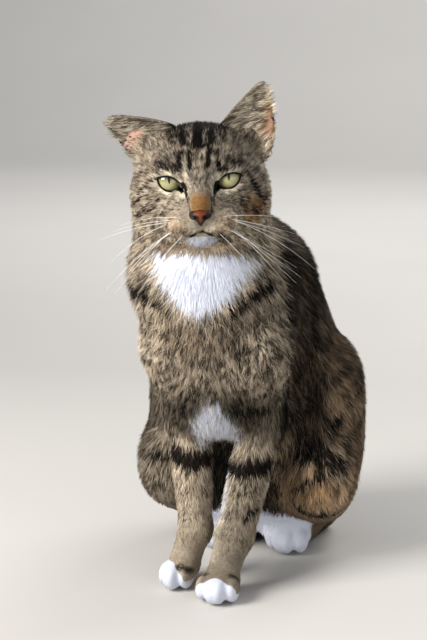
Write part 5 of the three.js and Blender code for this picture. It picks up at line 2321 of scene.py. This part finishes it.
@dataclass
class Whiskers:
    """Whiskers of the lips, swept along their curves by geometry nodes."""

    cat: Anatomy
    place: Place
    seed: int = 5
    thickness: float = 0.32
    steps: int = 14
    rows: int = 9
    sides: int = 6
    tip_share: float = 0.2
    lengths: tuple[float, float] = (44, 64)
    droops: tuple[float, float] = (0.12, 0.36)

    def paths(self) -> list[Array]:
        """The middle line of each whisker, in head axes.

        Returns:
            A row of points for each whisker.
        """
        draw = np.random.default_rng(self.seed)
        t, lines = np.linspace(0, 1, self.steps)[:, None], []
        for side, n in product(SIDES, range(self.rows)):
            start = np.array([10.5 + 2.9 * (n % 4), -30.5 + 2.6 * (n % 4), -18.5 - 1.2 * n])
            slope = 0.15 - 0.13 * n - 0.15 * (side == LEFT) + draw.uniform(-0.07, 0.07)
            out = np.array([1.0, 0.1 + draw.uniform(-0.12, 0.12), slope])
            length = draw.uniform(*self.lengths) - 1.2 * abs(n - 4)
            out = out / np.linalg.norm(out)
            fallen = np.array([0, 0.2, -draw.uniform(*self.droops)])
            points = start + out * length * t + fallen * length * t**2
            lines.append(points * [side, 1, 1])
        return lines

    def tree(self, finishes: Finishes) -> NodeTree:
        """Sweeps a tapering round section along each line.

        Args:
            finishes: the cat's materials.

        Returns:
            The tree, whose inputs are the section's sizes.
        """
        tree = bpy.data.node_groups.new("Whisker sweep", "GeometryNodeTree")
        tree.interface.new_socket("Geometry", in_out="INPUT", socket_type="NodeSocketGeometry")
        tree.interface.new_socket("Geometry", in_out="OUTPUT", socket_type="NodeSocketGeometry")
        for label, kind in (("Root radius", "Float"), ("Tip share", "Float"), ("Sides", "Int")):
            tree.interface.new_socket(label, in_out="INPUT", socket_type=f"NodeSocket{kind}")
        source = tree.nodes.new("NodeGroupInput").outputs

        def step(kind: str, output: str | int, **values: object) -> Socket:
            """Adds a node and feeds it.

            Args:
                kind: its type.
                output: which of its outputs to give.
                values: what each input takes.

            Returns:
                The output.
            """
            node = tree.nodes.new(kind)
            for label, value in values.items():
                socket = node.inputs[label.replace("_", " ")]
                if isinstance(value, Socket):
                    tree.links.new(value, socket)
                else:
                    socket.default_value = value
            return node.outputs[output]

        lines = step("GeometryNodeMeshToCurve", "Curve", Mesh=source["Geometry"])
        along = step("GeometryNodeSplineParameter", "Factor")
        taper = step("ShaderNodeMapRange", "Result", Value=along, To_Min=1.0, To_Max=source["Tip share"])
        sides, radius = source["Sides"], source["Root radius"]
        section = step("GeometryNodeCurvePrimitiveCircle", "Curve", Resolution=sides, Radius=radius)
        lines = step("GeometryNodeSetCurveRadius", "Curve", Curve=lines, Radius=taper)
        hairs = step(
            "GeometryNodeCurveToMesh", "Mesh", Curve=lines, Profile_Curve=section, Fill_Caps=True, Scale=taper
        )
        hairs = step("GeometryNodeRealizeInstances", "Geometry", Geometry=hairs)
        hairs = step("GeometryNodeSetMaterial", "Geometry", Geometry=hairs, Material=finishes.whisker)
        tree.links.new(hairs, tree.nodes.new("NodeGroupOutput").inputs["Geometry"])
        return tree

    def build(self, finishes: Finishes) -> Piece:
        """Makes all the whiskers as one plain mesh.

        Args:
            finishes: the cat's materials.

        Returns:
            The finished piece.
        """
        lines = self.paths()
        points = self.place.metres(self.cat.from_head(np.concatenate(lines).T.astype(np.float32)))
        starts = [n * self.steps + i for n in range(len(lines)) for i in range(self.steps - 1)]
        mesh = bpy.data.meshes.new("whisker_lines")
        mesh.from_pydata(points.tolist(), [(start, start + 1) for start in starts], [])
        carrier = stood("whisker_lines", mesh)
        modifier = carrier.modifiers.new("sweep", "NODES")
        tree = self.tree(finishes)
        modifier.node_group = tree
        inputs = {item.name: item.identifier for item in tree.interface.items_tree if item.in_out == "INPUT"}
        modifier[inputs["Root radius"]] = self.thickness / 2 * MILLIMETRE
        modifier[inputs["Tip share"]] = self.tip_share
        modifier[inputs["Sides"]] = self.sides
        result = bpy.data.meshes.new_from_object(carrier.evaluated_get(bpy.context.evaluated_depsgraph_get()))
        carrier.modifiers.clear()
        bpy.data.objects.remove(carrier)
        result.shade_smooth()
        return stood("whiskers", result)


# ---- studio ----
@dataclass
class Studio:
    """A pale floor that curves up behind, soft lights and the camera. Places are in millimetres."""

    place: Place
    turn: float = 15.0
    away: float = 1000.0
    height: float = 380.0
    down: float = 10.5
    lens: float = 85.0
    sensor: float = 36.0

    def at(self, p: Triple) -> Vector:
        """A point of body axes, in metres."""
        return Vector(self.place.metres(vec(p))[0].tolist())

    def floor(self) -> None:
        """Lays the floor and curves it up at the back."""
        width, depth, rise, bend, steps = 12.0, 5.0, 4.0, 1.6, 12
        profile = [(-depth, 0.0)]
        for n in range(steps + 1):
            angle = np.pi / 2 * n / steps
            profile.append((depth - bend + bend * np.sin(angle), bend * (1 - np.cos(angle))))
        profile.append((depth, rise))
        points = [(x, y, z) for y, z in profile for x in (-width, width)]
        faces = [(2 * n, 2 * n + 1, 2 * n + 3, 2 * n + 2) for n in range(len(profile) - 1)]
        mesh = bpy.data.meshes.new("floor")
        mesh.from_pydata(points, [], faces)
        mesh.shade_smooth()
        floor = stood("floor", mesh)
        material, w, shader = blank("Studio floor", 0.6, 0.3)
        w.link(w.mix(w.noise(w.place(), 3.0), "c9c5bf", "cfcbc5"), shader.inputs["Base Color"])
        mesh.materials.append(material)

    def light(self, name: str, at: Triple, aim: Triple, size: float, power: float, tint: Triple) -> None:
        """A soft square light aimed at a point.

        Args:
            name: its name.
            at: where it is.
            aim: where it points.
            size: its side, in metres.
            power: its power.
            tint: its colour.
        """
        lamp = bpy.data.lights.new(name, "AREA")
        lamp.size, lamp.energy, lamp.color = size, power, tint
        holder = stood(name, lamp)
        holder.location = self.at(at)
        holder.rotation_euler = (self.at(aim) - self.at(at)).to_track_quat("-Z", "Y").to_euler()

    def camera(self) -> None:
        """Sets up the camera."""
        turn = np.radians(self.turn)
        lens = bpy.data.cameras.new("camera")
        lens.lens, lens.sensor_width = self.lens, self.sensor
        holder = stood("camera", lens)
        holder.location = self.at((self.away * np.sin(turn), -self.away * np.cos(turn), self.height))
        holder.rotation_euler = (np.radians(90 - self.down), 0.0, turn)
        bpy.context.scene.camera = holder

    def build(self) -> None:
        """Makes the whole studio."""
        bpy.context.scene.view_settings.view_transform = "Standard"
        self.camera()
        self.floor()
        head, body = (-8, 0, 290), (0, 60, 160)
        self.light("key", (-900, -900, 900), body, 0.8, 36.0, (1.0, 0.985, 0.96))
        self.light("fill", (1100, -700, 500), body, 1.2, 3.5, (0.96, 0.98, 1.0))
        self.light("rim", (500, 900, 1000), head, 0.8, 9.0, (1.0, 1.0, 1.0))
        self.light("backdrop", (0, 1600, 2200), (0, 4200, 1100), 2.0, 80.0, (0.97, 0.98, 1.0))
        world = bpy.data.worlds.new("studio")
        world.use_nodes = True
        background = next(n for n in world.node_tree.nodes if n.type == "BACKGROUND")
        background.inputs["Color"].default_value = (0.86, 0.9, 0.96, 1.0)
        background.inputs["Strength"].default_value = 0.42
        bpy.context.scene.world = world


def ridden(piece: Piece, slot: str, *nodes: str) -> None:
    """Rides a piece on the still cat, in place of the nodes it stands for.

    Args:
        piece: the piece.
        slot: its material slot, which is not used.
        nodes: the nodes it stands for.
    """
    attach(piece, "root")
    if nodes:
        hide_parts(*nodes)
    LOG.info("%s: %d faces", piece.name, len(piece.data.polygons))


def main() -> None:
    """Builds the cat piece by piece and rides every piece on the frame."""
    logging.basicConfig(level=logging.INFO, format="%(name)s: %(message)s")
    anatomy = Anatomy()
    place = Place(anatomy)
    noise = Noise(seed=3)
    markings = Markings(anatomy, noise)
    Studio(place).build()
    finishes = Finishes()
    skin = Skin(anatomy, place, markings).build(finishes)
    names = ("ear", "foreleg", "hindleg", "forepaw", "hindpaw")
    pairs = [f"{name}_{side}" for name, side in product(names, ("left", "right"))]
    ridden(skin, "tabby_coat", "head", "neck", "trunk", "tail", *pairs)
    for piece in Coat(anatomy, place, markings, Lie(anatomy, noise), noise).grow(skin, finishes):
        ridden(piece, "white_coat" if piece.name == "coat_paws" else "tabby_coat")
    for side, name in ((LEFT, "left"), (RIGHT, "right")):
        ridden(Eyes(anatomy, place).build(side, f"eyeball_{name}", finishes), "eye", f"eye_{name}")
    ridden(Nose(anatomy, place).build(finishes), "nose_leather", "nose")
    ridden(Whiskers(anatomy, place).build(finishes), "white_coat")


if __name__ == "__main__":
    main()
